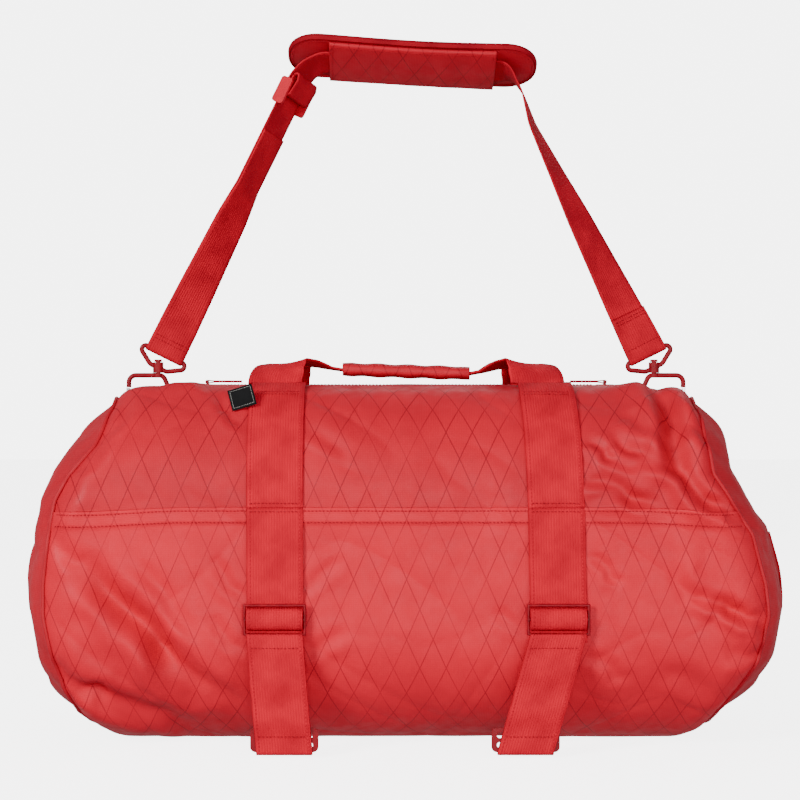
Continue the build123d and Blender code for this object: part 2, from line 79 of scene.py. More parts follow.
def smooth(t):
    t = np.clip(t, 0.0, 1.0)
    return t * t * (3 - 2 * t)


def outline(z, sign):
    """Half length of the bag at a height, on one side."""
    left = np.interp(z, *zip(*LEFT_OUTLINE))
    right = np.interp(z, *zip(*RIGHT_OUTLINE))
    return np.where(np.asarray(sign) < 0, left, right)


def end_inset(y):
    """How far the end seam lies in from the bag's outline; most at the front and the back."""
    return 0.017 + 0.023 * smooth(np.abs(y) / 0.15)


def end_plan(y):
    """How the ends curve away towards the front and the back."""
    return 0.19 * (np.sqrt(y ** 2 + 0.0004) - 0.02)


def section(run):
    """Depth, height and outward normal at a distance round the half section, from the base."""
    run = np.asarray(run, dtype=float)
    a = np.clip((run - RUNS[1]) / LOW_R, 0, math.pi / 2)
    b = np.clip((run - RUNS[3]) / TOP_R, 0, math.pi / 2)
    y = np.minimum(run, FLAT_LOW) + LOW_R * np.sin(a)
    z = LOW_R * (1 - np.cos(a)) + np.clip(run - RUNS[2], 0, SIDE_HIGH)
    y = y - TOP_R * (1 - np.cos(b)) - np.clip(run - RUNS[4], 0, FLAT_TOP)
    z = z + TOP_R * np.sin(b)
    turn = a + b
    return y, z, np.sin(turn), -np.cos(turn)


LATTICE = RNG.random((8, 64, 64))


def value_noise(a, b, layer):
    """Smooth noise from 0 to 1 over a plane."""
    grid = LATTICE[layer % 8]
    i, j = np.floor(a).astype(int), np.floor(b).astype(int)
    u, v = smooth(a - i), smooth(b - j)
    i, j, i1, j1 = i % 64, j % 64, (i + 1) % 64, (j + 1) % 64
    low = grid[i, j] * (1 - u) + grid[i1, j] * u
    high = grid[i, j1] * (1 - u) + grid[i1, j1] * u
    return low * (1 - v) + high * v


# folds as (x0, z0, x1, z1, depth in mm, width in mm), seen from the front; a negative depth is a ridge
FRONT_FOLDS = [
    (-.285, .160, -.225, .100, 7.5, 15), (-.225, .100, -.190, .052, 6, 17),
    (-.262, .138, -.178, .060, 4.0, 11), (-.235, .168, -.196, .118, 2.5, 9),
    (-.322, .074, -.285, .050, 6.5, 12), (-.285, .050, -.215, .024, 6.0, 14),
    (-.306, .270, -.326, .222, 5.0, 12), (-.285, .305, -.303, .262, 4.5, 12),
    (-.262, .318, -.283, .270, 2.5, 9), (-.330, .205, -.300, .178, 3.0, 10),
    (-.180, .328, -.150, .304, 2.0, 7), (-.172, .172, -.146, .142, 2.2, 7),
    (-.176, .120, -.148, .096, 1.8, 7), (-.096, .150, -.066, .176, 1.6, 7),
    (-.094, .092, -.060, .112, 1.6, 8), (-.090, .300, -.060, .280, 1.8, 8),
    (.238, .330, .250, .268, 10, 13), (.250, .268, .278, .232, 8, 11),
    (.278, .232, .314, .214, 5, 8), (.268, .296, .306, .262, -7, 13),
    (.296, .258, .330, .226, 4.5, 9), (.262, .322, .300, .300, -5, 12),
    (.168, .254, .210, .236, 4.0, 8), (.198, .284, .248, .258, 4.5, 8),
    (.170, .288, .186, .272, 3.0, 6), (.176, .236, .222, .231, 2.5, 7),
    (.205, .312, .236, .286, 2.5, 9), (.186, .268, .226, .262, 2.0, 6),
    (.266, .150, .298, .133, 5.0, 8), (.300, .138, .332, .114, 6.5, 9),
    (.258, .176, .276, .136, -3.0, 10), (.298, .098, .336, .084, 3.5, 11),
    (.172, .182, .190, .160, 2.0, 6), (.170, .092, .196, .070, 2.0, 8),
    (.240, .070, .300, .052, 2.5, 14), (.084, .130, .106, .112, 1.4, 7),
]
BACK_FOLDS = [
    (-.300, .300, -.262, .238, 7, 13), (-.262, .238, -.214, .214, 4.5, 10),
    (-.330, .150, -.270, .110, 6, 13), (-.270, .110, -.200, .080, 4, 14),
    (-.180, .320, -.150, .290, 2.4, 9), (-.092, .180, -.040, .150, 2.2, 12),
    (-.030, .290, .030, .262, 2.4, 15), (.090, .120, .030, .086, 2.2, 13),
    (.170, .300, .210, .262, 3.6, 9), (.210, .262, .276, .240, 4.2, 10),
    (.300, .300, .262, .252, 6.0, 12), (.330, .170, .286, .120, 6.5, 13),
    (.286, .120, .206, .096, 4.5, 14), (.180, .170, .230, .150, 2.2, 10),
]


def folds(x, z, table):
    """Depth of the creases at places on the front or the back."""
    total = np.zeros_like(x)
    for x0, z0, x1, z1, deep, wide in table:
        dx, dz = x1 - x0, z1 - z0
        size = math.hypot(dx, dz)
        along = ((x - x0) * dx + (z - z0) * dz) / size ** 2
        off = ((x - x0) * dz - (z - z0) * dx) / size
        wander = (value_noise(along * 3.1 + x0 * 90, off * 20 + 9, 3) - 0.5) * 0.8
        off = off / (wide * 0.001) + wander
        fade = smooth((along + 0.35) / 0.5) * smooth((1.35 - along) / 0.5)
        shape = -np.exp(-(off * 1.25) ** 2) + 0.55 * np.exp(-((off - 1.5) / 0.8) ** 2)
        shape += 0.3 * np.exp(-((off + 1.7) / 0.9) ** 2)
        total += deep * (FOLD_GAIN * MM) * fade * shape
    return total


STRAP_LINES = {-1: (-0.121, 0.131), 1: (-0.125, 0.125)}


def relief(x, run, side):
    """How far the cloth stands proud of the plain section."""
    z = section(run)[1]
    a = x * 1000
    b = run * 1000 * side + 1400
    lump = (value_noise(a / 150, b / 130, 0) - 0.5) * 5.0
    lump += (value_noise(a / 62, b / 70, 1) - 0.5) * 2.2
    lump += (value_noise(a / 24, b / 27, 2) - 0.5) * 0.8
    skew = a * 0.8 + b * 0.6
    across = b * 0.8 - a * 0.6
    crease = 1 - np.abs(2 * value_noise(skew / 170, across / 46, 4) - 1)
    lump += -1.5 * np.clip(crease, 0, 1) ** 6
    crease = 1 - np.abs(2 * value_noise((a * 0.7 - b * 0.7) / 150, (a * 0.7 + b * 0.7) / 52, 5) - 1)
    lump += -1.1 * np.clip(crease, 0, 1) ** 7
    out = lump * 0.001
    out = out + folds(x, z, FRONT_FOLDS if side < 0 else BACK_FOLDS)
    for place in STRAP_LINES[side]:
        near = np.exp(-((x - place) / 0.031) ** 4)
        out = out * (1 - 0.8 * near) - 0.0022 * near * smooth((z - 0.03) / 0.05)
    flat = smooth((z - 0.325) / 0.012) * smooth((0.205 - np.abs(x)) / 0.02)
    base = smooth((0.006 - z) / 0.006)
    middle = smooth((HALF_RUN - run) / 0.05)
    out = out + SHOULDER_BULGE * np.exp(-((run - SHOULDER_RUN) / 0.018) ** 2)
    return out * (1 - 0.9 * flat) * (1 - 0.7 * base) * middle


def sunk(x, y, z):
    """The top, sunken at both ends round the D-rings."""
    start = smooth((np.abs(x) - 0.200) / 0.036)
    valley = 0.2885 + 0.052 * smooth((np.abs(y) - 0.014) / 0.064)
    ceiling = 0.365 + (valley - 0.365) * start
    soft = 0.010
    mix = np.clip(0.5 + 0.5 * (z - ceiling) / soft, 0, 1)
    return z * (1 - mix) + ceiling * mix - soft * mix * (1 - mix)


def end_x(run, sign):
    """Where the end seam lies for a place round the section."""
    y, z = section(run)[:2]
    return sign * (outline(z, sign) - end_inset(y))


def skin(x, run, side, lift=0.0):
    """A point of the bag's cloth; lift raises it along the normal."""
    x, run = np.broadcast_arrays(np.asarray(x, float), np.asarray(run, float))
    y, z, ny, nz = section(run)
    edge = outline(z, x) - end_inset(y) - np.abs(x)
    m = np.clip(1 - edge / END_ROUND, 0, 1) * 0.85
    drop = END_ROUND * (1 - np.sqrt(1 - m * m))
    out = relief(x, run, side) * (1 - 0.6 * m) - drop + lift
    y = (y + ny * out) * side
    z = z + nz * out
    z = sunk(x, y, z)
    return np.stack([x, y, np.maximum(z, LOWEST)], axis=-1)


def seam_run(x):
    """The long front and back seams, which droop at the ends."""
    return SEAM_RUN - 0.022 * smooth((np.abs(x) - 0.318) / 0.05) - 0.004 * smooth((np.abs(x) - 0.2) / 0.1)


# ---- materials
class Paint:
    """A small helper for building one procedural material."""

    def __init__(self, name):
        self.mat = bpy.data.materials.new(name)
        self.mat.use_nodes = True
        self.nodes = self.mat.node_tree.nodes
        self.links = self.mat.node_tree.links
        self.shader = self.nodes["Principled BSDF"]

    def node(self, kind, **settings):
        made = self.nodes.new(kind)
        for key, value in settings.items():
            setattr(made, key, value)
        return made

    def put(self, socket, value):
        if isinstance(value, bpy.types.NodeSocket):
            self.links.new(value, socket)
        else:
            socket.default_value = value

    def math(self, what, a, b=0.0, c=0.0):
        made = self.node("ShaderNodeMath", operation=what)
        for socket, value in zip(made.inputs, (a, b, c)):
            self.put(socket, value)
        return made.outputs[0]

    def times(self, a, b):
        return self.math("MULTIPLY", a, b)

    def scaled(self, a, b, c):
        """a times b, plus c."""
        return self.math("MULTIPLY_ADD", a, b, c)

    def ramp(self, value, low, high, out_low=0.0, out_high=1.0):
        made = self.node("ShaderNodeMapRange", interpolation_type="SMOOTHSTEP")
        for key, v in zip(("Value", "From Min", "From Max", "To Min", "To Max"),
                          (value, low, high, out_low, out_high)):
            self.put(made.inputs[key], v)
        return made.outputs["Result"]

    def blend(self, share, a, b):
        made = self.node("ShaderNodeMix", data_type="RGBA")
        for socket, value in ((made.inputs[0], share), (made.inputs[6], a), (made.inputs[7], b)):
            self.put(socket, value)
        return made.outputs[2]

    def place(self, uv=True):
        made = self.node("ShaderNodeTexCoord")
        return made.outputs["UV" if uv else "Object"]

    def split(self, vector):
        made = self.node("ShaderNodeSeparateXYZ")
        self.put(made.inputs[0], vector)
        return made.outputs[0], made.outputs[1], made.outputs[2]

    def noise(self, vector, scale, detail=3.0, rough=0.5):
        made = self.node("ShaderNodeTexNoise")
        self.put(made.inputs["Vector"], vector)
        for key, value in (("Scale", scale), ("Detail", detail), ("Roughness", rough)):
            made.inputs[key].default_value = value
        return made.outputs["Fac"]

    def ridges(self, value, pitch):
        """0 in the grooves and 1 on the ribs, one rib for each pitch."""
        turned = self.times(value, 2 * math.pi / pitch)
        return self.scaled(self.math("SINE", turned), 0.5, 0.5)

    def bump(self, height, strength, distance):
        made = self.node("ShaderNodeBump")
        made.inputs["Strength"].default_value = strength
        made.inputs["Distance"].default_value = distance
        self.put(made.inputs["Height"], height)
        self.links.new(made.outputs[0], self.shader.inputs["Normal"])

    def finish(self, colour, rough, **constants):
        self.put(self.shader.inputs["Base Color"], colour)
        self.put(self.shader.inputs["Roughness"], rough)
        for key, value in constants.items():
            self.shader.inputs[key.replace("_", " ")].default_value = value
        return self.mat


GRID_WIDE = 0.0242               # one diamond of the printed grid
GRID_TALL = 0.0552


def red(level, green=0.006, blue=0.026):
    """A saturated red of the given strength; green and blue are given for a level of 0.7."""
    return (level, level * green / 0.7, level * blue / 0.7, 1)


def cloth(name, base, shade, line, lines=True, weave=0.0016):
    """Coated laminate: fine woven rib with a painted highlight on its raised ribs, soft stains of light and
    dark, and the thin diamond grid.
    """
    p = Paint(name)
    uv = p.place()
    u, v, _ = p.split(uv)
    drift = p.noise(uv, 9, 4)
    cloud = p.noise(uv, 42, 3)
    tone = p.scaled(cloud, 0.35, p.times(drift, 0.65))
    colour = p.blend(p.ramp(tone, 0.36, 0.64), base, shade)
    warp = p.ridges(u, weave)
    weft = p.ridges(v, weave * 1.1)
    rib = p.times(warp, weft)
    # painted highlight: the raised ribs of the weave are coloured a lighter red
    colour = p.blend(p.times(rib, 0.10), colour, red(1.0, 0.03, 0.045))
    height = p.scaled(p.noise(uv, 130, 4), 0.8, p.times(rib, 0.22))
    if lines:
        a = p.times(u, 1 / GRID_WIDE)
        b = p.times(v, 1 / GRID_TALL)
        one = p.math("PINGPONG", p.math("ADD", a, b), 0.5)
        two = p.math("PINGPONG", p.math("SUBTRACT", a, b), 0.5)
        near = p.math("MINIMUM", one, two)
        faded = p.ramp(p.noise(uv, 14, 2), 0.30, 0.62, 0.35, 0.95)
        mask = p.times(p.ramp(near, 0.007, 0.030, 1.0, 0.0), faded)
        colour = p.blend(p.times(mask, 0.75), colour, line)
        height = p.scaled(mask, 0.35, height)
    scuff = p.ramp(p.noise(uv, 260, 5, 0.7), 0.66, 0.78, 0.0, 0.12)
    colour = p.blend(scuff, colour, red(0.9, 0.04, 0.05))
    p.bump(height, 0.55, 0.0006)
    rough = p.ramp(p.noise(uv, 70, 3), 0.3, 0.7, 0.46, 0.62)
    return p.finish(colour, rough, Sheen_Weight=0.02, Sheen_Roughness=0.4,
                    Sheen_Tint=(1.0, 0.1, 0.15, 1), Specular_IOR_Level=0.16)


def webbing(name, base, dark, half, rib=0.0019):
    """Flat webbing: ribs along, finer rows across with painted shade in the grooves between them, two darker
    lines of edge stitching.
    """
    p = Paint(name)
    uv = p.place()
    u, v, _ = p.split(uv)
    ribs = p.ridges(v, rib)
    columns = p.ridges(u, 0.0024)
    knit = p.times(p.ramp(columns, 0.1, 0.9), p.scaled(ribs, 0.35, 0.65))
    tone = p.noise(uv, 30, 3)
    colour = p.blend(p.ramp(tone, 0.35, 0.65), base, dark)
    # painted shade: the grooves of the weave are coloured darker than its ribs
    colour = p.blend(p.scaled(knit, 0.55, 0.45), dark, colour)
    edge = p.math("ABSOLUTE", p.math("SUBTRACT", p.math("ABSOLUTE", u), half - 0.0026))
    dash = p.ramp(p.ridges(v, 0.0034), 0.35, 0.6)
    seam = p.times(p.ramp(edge, 0.0003, 0.0008, 1.0, 0.0), dash)
    colour = p.blend(p.times(seam, 0.5), colour, red(0.26))
    fuzz = p.noise(uv, 900, 4, 0.7)
    height = p.scaled(fuzz, 0.25, p.math("SUBTRACT", knit, seam))
    p.bump(height, 0.6, 0.0005)
    return p.finish(colour, 0.75, Sheen_Weight=0.02, Sheen_Roughness=0.45,
                    Sheen_Tint=(1.0, 0.1, 0.15, 1), Specular_IOR_Level=0.08)


def coated_metal(name, base, worn, rough_low, rough_high, metallic=0.0):
    """Hardware: a coat with orange peel, tiny chips and brighter rubbed places."""
    p = Paint(name)
    here = p.place(uv=False)
    wear = p.noise(here, 160, 5, 0.65)
    colour = p.blend(p.ramp(wear, 0.40, 0.72), base, worn)
    dust = p.ramp(p.noise(here, 900, 2), 0.62, 0.8, 0.0, 0.35)
    colour = p.blend(dust, colour, tuple(c * 0.6 for c in base[:3]) + (1,))
    p.bump(p.noise(here, 700, 3), 0.15, 0.0003)
    rough = p.ramp(wear, 0.3, 0.7, rough_low, rough_high)
    return p.finish(colour, rough, Metallic=metallic, Specular_IOR_Level=0.14)


def moulded(name, base, rough=0.55, level=0.3):
    """Plain plastic or thread with a fine grain."""
    p = Paint(name)
    here = p.place(uv=False)
    tone = p.noise(here, 240, 4)
    colour = p.blend(p.ramp(tone, 0.3, 0.7), base, tuple(c * 0.72 for c in base[:3]) + (1,))
    p.bump(p.noise(here, 1200, 2), 0.25, 0.0003)
    return p.finish(colour, rough, Specular_IOR_Level=level)


LOWER = cloth("laminate_lower", red(0.53), red(0.46), red(0.20))
UPPER = cloth("laminate_upper", red(0.44), red(0.37), red(0.11))
ENDS = cloth("laminate_ends", red(0.42), red(0.35), red(0.16), lines=False)
BASE = cloth("base_cloth", red(0.22), red(0.17), red(0.09), lines=False)
GRIP = cloth("grip_cloth", red(0.40), red(0.34), red(0.11))
FELT = cloth("pad_cloth", red(0.39), red(0.32), red(0.14), lines=False)
WEB50 = webbing("webbing_wide", red(0.54), red(0.37), 0.025)
WEB38 = webbing("webbing_narrow", red(0.48), red(0.32), 0.019)
TAPE = webbing("webbing_tape", red(0.30), red(0.20), 0.012, rib=0.0013)
METAL = coated_metal("red_coated_metal", red(0.17), red(0.25), 0.36, 0.55)
BUCKLE = coated_metal("red_moulded_buckle", red(0.42), red(0.50), 0.42, 0.60)
STEEL = coated_metal("spring_steel", (0.55, 0.55, 0.55, 1), (0.75, 0.75, 0.74, 1), 0.22, 0.38, 1.0)
ZIP = moulded("zip_coil", red(0.24), 0.45)
THREAD = moulded("thread", red(0.34), 0.7, 0.15)
TAG = moulded("tag_black", (0.006, 0.006, 0.0065, 1), 0.8, 0.08)
TAG_MARK = moulded("tag_mark", (0.30, 0.30, 0.28, 1), 0.8, 0.1)
BOARD = moulded("board", (0.03, 0.03, 0.032, 1), 0.6)


# ---- geometry helpers
def make(name, verts, faces, material, body, uvs=None, replaces=()):
    """One piece from its own mesh, placed in the row frame; it rides on a body where one is named."""
    mesh = bpy.data.meshes.new(name)
    mesh.from_pydata(np.asarray(verts, float).reshape(-1, 3).tolist(), [],
                     faces.tolist() if isinstance(faces, np.ndarray) else faces)
    mesh.update()
    if uvs is not None:
        flat = np.asarray(uvs, float).reshape(-1, 2)
        index = np.empty(len(mesh.loops), dtype=np.int32)
        mesh.loops.foreach_get("vertex_index", index)
        layer = mesh.uv_layers.new(name="cloth")
        layer.data.foreach_set("uv", flat[index].ravel())
    mesh.materials.append(material)
    mesh.polygons.foreach_set("use_smooth", [True] * len(mesh.polygons))
    obj = bpy.data.objects.new(name, mesh)
    bpy.context.collection.objects.link(obj)
    if body:
        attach(obj, body)
    if replaces:
        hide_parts(*replaces)
    return obj


def grid_faces(rows, cols, wrap_rows=False, wrap_cols=False):
    """Quads over a grid of points, row by row."""
    index = np.arange(rows * cols).reshape(rows, cols)
    if wrap_rows:
        index = np.vstack([index, index[:1]])
    if wrap_cols:
        index = np.hstack([index, index[:, :1]])
    a, b = index[:-1, :-1], index[:-1, 1:]
    c, d = index[1:, 1:], index[1:, :-1]
    return np.stack([a, b, c, d], axis=-1).reshape(-1, 4)


def shell(name, points, uvs, material, body, inward, thick=0.0016, **kw):
    """A sheet of cloth with its thickness towards the given side."""
    rows, cols = points.shape[:2]
    faces = grid_faces(rows, cols)
    p = points.reshape(-1, 3)
    normals = np.cross(p[faces[:, 1]] - p[faces[:, 0]], p[faces[:, 3]] - p[faces[:, 0]])
    middle = p[faces].mean(axis=1)
    if np.sum(normals * (middle - np.asarray(inward))) < 0:
        faces = faces[:, ::-1]
    obj = make(name, points, faces, material, body, uvs, **kw)
    solid = obj.modifiers.new("cloth", "SOLIDIFY")
    solid.thickness = thick
    solid.offset = -1
    return obj


CORE = (0.0, 0.0, 0.17)


def unit(v):
    v = np.asarray(v, float)
    return v / np.linalg.norm(v, axis=-1, keepdims=True)


def signed_power(v, e):
    """A power that keeps the sign, which squares off a circle."""
    return np.sign(v) * np.abs(v) ** e


def band(name, centres, across, out, width, material, body, thick=0.0016, cols=9, bow=0.0, **kw):
    """Webbing along centres, with its own width direction and outward side at each."""
    centres, across, out = np.asarray(centres, float), unit(across), unit(out)
    width = np.broadcast_to(np.asarray(width, float), (len(centres),))
    side = np.linspace(-1, 1, cols)
    loop_u = np.concatenate([side, [1.03], side[::-1], [-1.03]])
    loop_v = np.concatenate([np.full(cols, 0.5), [0.0], np.full(cols, -0.5), [0.0]])
    crown = np.concatenate([1 - side ** 2, [0.0], 1 - side[::-1] ** 2, [0.0]]) * bow
    points = (centres[:, None, :] + across[:, None, :] * (loop_u * 0.5)[None, :, None]
              * width[:, None, None] + out[:, None, :] * (loop_v * thick + crown)[None, :, None])
    step = np.linalg.norm(np.diff(centres, axis=0), axis=1)
    along = np.concatenate([[0], np.cumsum(step)])
    uvs = np.stack(np.broadcast_arrays((loop_u * 0.5)[None, :] * width[:, None], along[:, None]), -1)
    rows, ring = points.shape[:2]
    faces = grid_faces(rows, ring, wrap_cols=True).tolist()
    faces.append(list(range(ring)))
    faces.append(list(range((rows - 1) * ring, rows * ring))[::-1])
    return make(name, points, faces, material, body, uvs, **kw)


def tube(name, points, radius, material, body, sides=8, closed=False, **kw):
    """A round cord, welt or wire through points."""
    points = np.asarray(points, float)
    if closed:
        ahead = np.roll(points, -1, axis=0) - np.roll(points, 1, axis=0)
    else:
        ahead = np.gradient(points, axis=0)
    ahead = unit(ahead)
    reference = np.where(np.abs(ahead[:, :1]) > 0.9, [[0.0, 1.0, 0.0]], [[1.0, 0.0, 0.0]])
    one = unit(np.cross(ahead, reference))
    two = np.cross(ahead, one)
    turn = np.linspace(0, 2 * math.pi, sides, endpoint=False)
    ring = (points[:, None] + radius * (np.cos(turn)[None, :, None] * one[:, None]
                                        + np.sin(turn)[None, :, None] * two[:, None]))
    rows = len(points)
    faces = grid_faces(rows, sides, wrap_rows=closed, wrap_cols=True).tolist()
    if not closed:
        faces.append(list(range(sides)))
        faces.append(list(range((rows - 1) * sides, rows * sides))[::-1])
    return make(name, ring, faces, material, body, **kw)


def stitches(name, lines, body, material=THREAD, pitch=0.0034, share=0.62, radius=0.00045):
    """Rows of sewing thread; each line is a polyline of surface points with its outward normals."""
    verts, faces = [], []
    for points, out in lines:
        points, out = np.asarray(points, float), unit(out)
        step = np.linalg.norm(np.diff(points, axis=0), axis=1)
        along = np.concatenate([[0], np.cumsum(step)])
        for start in np.arange(0, along[-1] - pitch * share, pitch):
            at = np.linspace(start, start + pitch * share, 4)
            spine = np.stack([np.interp(at, along, points[:, k]) for k in range(3)], -1)
            up = unit(np.stack([np.interp(at, along, out[:, k]) for k in range(3)], -1))
            ahead = unit(np.gradient(spine, axis=0))
            wide = np.cross(ahead, up)
            lift = np.array([0.0, 1.0, 1.0, 0.0])[:, None] * radius * 0.8
            fat = np.array([0.45, 1.0, 1.0, 0.45])[:, None] * radius
            base = len(verts)
            ring = [spine + up * lift + wide * fat, spine + up * (lift + fat),
                    spine + up * lift - wide * fat, spine + up * (lift - fat)]
            ring = np.stack(ring, axis=1).reshape(-1, 3)
            verts.extend(ring.tolist())
            part = grid_faces(4, 4, wrap_cols=True) + base
            faces.extend(part.tolist())
            faces.append([base, base + 1, base + 2, base + 3])
            faces.append([base + 15, base + 14, base + 13, base + 12])
    return make(name, verts, faces, material, body)


def catmull(keys, count):
    """A smooth line through key rows of numbers."""
    keys = np.asarray(keys, float)
    full = np.vstack([2 * keys[0] - keys[1], keys, 2 * keys[-1] - keys[-2]])
    t = np.linspace(0, len(keys) - 1 - 1e-9, count)
    i = t.astype(int)
    f = (t - i)[:, None]
    p0, p1, p2, p3 = full[i], full[i + 1], full[i + 2], full[i + 3]
    return 0.5 * (2 * p1 + (p2 - p0) * f + (2 * p0 - 5 * p1 + 4 * p2 - p3) * f ** 2
                  + (3 * p1 - p0 - 3 * p2 + p3) * f ** 3)


def skin_normal(x, run, side):
    """Outward normal of the cloth."""
    e = 0.002
    along = skin(x + e, run, side) - skin(x - e, run, side)
    round_ = skin(x, run + e, side) - skin(x, run - e, side)
    n = unit(np.cross(along, round_))
    flip = np.sum(n * (skin(x, run, side) - np.asarray(CORE)), axis=-1, keepdims=True) < 0
    return np.where(flip, -n, n)


# ---- the bag's cloth
def panel(name, side, run0, run1, cols, rows, material, replaces=(), lift=0.0, hem=None):
    """A full-length panel between two lines round the section."""
    p = np.linspace(-1, 1, cols)
    q = np.linspace(0, 1, rows)
    guess = np.broadcast_to(p, (rows, cols)) * 0.36
    for _ in range(3):
        low = run0(guess) if callable(run0) else run0
        high = run1(guess) if callable(run1) else run1
        run = low + (high - low) * q[:, None]
        run = np.broadcast_to(run, (rows, cols))
        guess = np.abs(p) * end_x(run, np.sign(p) + (p == 0))
    rise = np.full((rows, cols), lift)
    if hem is not None:
        rise = rise + hem(run, high)
    points = skin(guess, run, side, rise)
    uvs = np.stack([guess, run * -side], -1)
    return shell(name, points, uvs, material, "bag", CORE, replaces=replaces)


for side, word in SIDE_NAMES.items():
    panel(f"{word}_lower_cloth", side, 0.060, seam_run, 300, 130, LOWER,
          replaces=(f"{word}_lower_panel",),
          hem=lambda run, high: 0.0014 * smooth((run - (high - 0.0155)) / 0.001)
          + 0.0009 * smooth((run - (high - 0.004)) / 0.004))
    panel(f"{word}_upper_cloth", side, lambda x: seam_run(x) - 0.008, FOLD_RUN, 300, 84, UPPER,
          replaces=(f"{word}_upper_panel",), lift=-0.0006)
    ride = np.linspace(-1, 1, 420)
    rows = []
    for off in (-0.0030, -0.0135):
        xs = ride * 0.352
        run = seam_run(xs) + off
        keep = np.abs(xs) < np.abs(end_x(run, np.sign(xs))) - 0.004
        rows.append((skin(xs[keep], run[keep], side, 0.0017 if off > -0.01 else 0.0015),
                     skin_normal(xs[keep], run[keep], side)))
    stitches(f"{word}_seam_thread", rows, "bag")


def base_points(cols, rows):
    p = np.linspace(-1, 1, cols)
    y = np.linspace(-0.062, 0.062, rows)
    x = np.abs(p)[None, :] * end_x(np.abs(y)[:, None], np.sign(p)[None, :] + (p == 0))
    front = skin(x, np.abs(y)[:, None] * np.ones_like(x), -1)
    back_side = skin(x, np.abs(y)[:, None] * np.ones_like(x), 1)
    return np.where((y < 0)[:, None, None], front, back_side), x, y


points, xs, ys = base_points(160, 40)
uvs = np.stack(np.broadcast_arrays(xs, ys[:, None]), -1)
shell("base_cloth_panel", points, uvs, BASE, "bag", CORE, replaces=("base_panel",))


# ends
def ring_points(sign, count):
    """The end seam, once round, with the height before the top sinks."""
    run = np.linspace(0, HALF_RUN, count)
    front = skin(end_x(run, sign), run, -1)
    back = skin(end_x(run, sign), run, 1)[::-1]
    return np.vstack([front, back[1:-1]])


def end_lump(y, z, sign):
    """Dents and creases of an end panel."""
    a, b = y * 1000, z * 1000
    lump = (value_noise(a / 70 + 3 * sign, b / 80, 5) - 0.5) * 6
    lump += (value_noise(a / 30, b / 34 + sign, 6) - 0.5) * 2.4
    crease = 1 - np.abs(2 * value_noise(a / 90 + b / 200, b / 60 - a / 150, 7) - 1)
    return (lump - 3.0 * crease ** 6) * 0.001


def end_panel(sign, word):
    ring = ring_points(sign, 130)
    count = len(ring)
    middle = np.array([0.0, 0.165])
    steps = 46
    points = np.zeros((steps, count, 3))
    rim = np.abs(ring[:, 0])
    for i, t in enumerate(np.linspace(1, 0, steps)):
        yz = middle + (ring[:, 1:] - middle) * t
        far = np.linalg.norm(ring[:, 1:] - middle, axis=1) * (1 - t)
        near_edge = np.clip(1 - far / 0.055, 0, 1)
        plan = end_plan(yz[:, 0])
        x = outline(np.clip(yz[:, 1], 0, 0.34), sign) - plan - (end_inset(yz[:, 0]) - plan) * near_edge ** 2
        x = x * (1 - near_edge ** 4) + rim * near_edge ** 4
        x = x + end_lump(yz[:, 0], yz[:, 1], sign) * (1 - near_edge ** 2) - 0.003 * (1 - near_edge) * (t < 1)
        points[i] = np.stack([sign * x, yz[:, 0], yz[:, 1]], -1)
    points[-1] = points[-1].mean(axis=0)
    uvs = np.stack([points[..., 1], points[..., 2]], -1)
    closed = np.concatenate([points, points[:, :1]], axis=1)
    closed_uv = np.concatenate([uvs, uvs[:, :1]], axis=1)
    obj = shell(f"end_cloth_{word}", closed, closed_uv, ENDS, "bag", CORE,
                replaces=(f"end_panel_{word}",))
    obj.modifiers.new("join", "WELD").merge_threshold = 0.0002
    obj.modifiers.move(1, 0)
    out = ring + unit(ring - np.array([sign * 0.2, 0, 0.17])) * 0.0008
    tube(f"end_welt_{word}", out, 0.0021, LOWER, "bag", closed=True)


for word, sign in WORDS.items():
    end_panel(sign, word)

# ---- soft pieces: helpers
def soften(keys, step, reach):
    """Rows of numbers resampled along their first three columns, with the corners rounded off."""
    keys = np.asarray(keys, float)
    run = np.concatenate([[0], np.cumsum(np.linalg.norm(np.diff(keys[:, :3], axis=0), axis=1))])
    at = np.linspace(0, run[-1], max(int(run[-1] / step), 8))
    rows = np.stack([np.interp(at, run, column) for column in keys.T], -1)
    n = min(max(int(reach / step), 1), len(rows) - 1)
    padded = np.vstack([2 * rows[:1] - rows[n:0:-1], rows, 2 * rows[-1:] - rows[-2:-n - 2:-1]])
    kernel = np.hanning(2 * n + 3)[1:-1]
    kernel = kernel / kernel.sum()
    return np.stack([np.convolve(column, kernel, "valid") for column in padded.T], -1)


def ribbon(name, keys, material, body, step=0.003, reach=0.008, square=True, **kw):
    """Webbing through rows of (centre, width direction, width); its ends are cut square unless told."""
    rows = soften(keys, step, reach)
    centres, across = rows[:, :3], rows[:, 3:6]
    ahead = unit(np.gradient(centres, axis=0))
    if square:
        across = across - ahead * np.sum(ahead * across, axis=1, keepdims=True)
    out = unit(np.cross(ahead, unit(across)))
    return band(name, centres, across, out, rows[:, 6], material, body, **kw)


def wrap(name, rings, material, body, caps=True, **kw):
    """A closed sleeve or cushion lofted through rings of points."""
    rings = np.asarray(rings, float)
    rows, count = rings.shape[:2]
    closed = np.concatenate([rings, rings[:, :1]], axis=1)
    round_ = np.linalg.norm(np.diff(closed, axis=1), axis=2).mean(axis=0)
    v = np.concatenate([[0], np.cumsum(round_)])
    ahead = np.linalg.norm(np.diff(rings.mean(axis=1), axis=0), axis=1)
    u = np.concatenate([[0], np.cumsum(ahead)])
    uvs = np.stack(np.broadcast_arrays(u[:, None], v[None, :]), -1)
    faces = grid_faces(rows, count + 1).tolist()
    if caps:
        faces.append(list(range(count))[::-1])
        faces.append([(rows - 1) * (count + 1) + k for k in range(count)])
    obj = make(name, closed, faces, material, body, uvs, **kw)
    obj.modifiers.new("join", "WELD").merge_threshold = 0.00005
    return obj


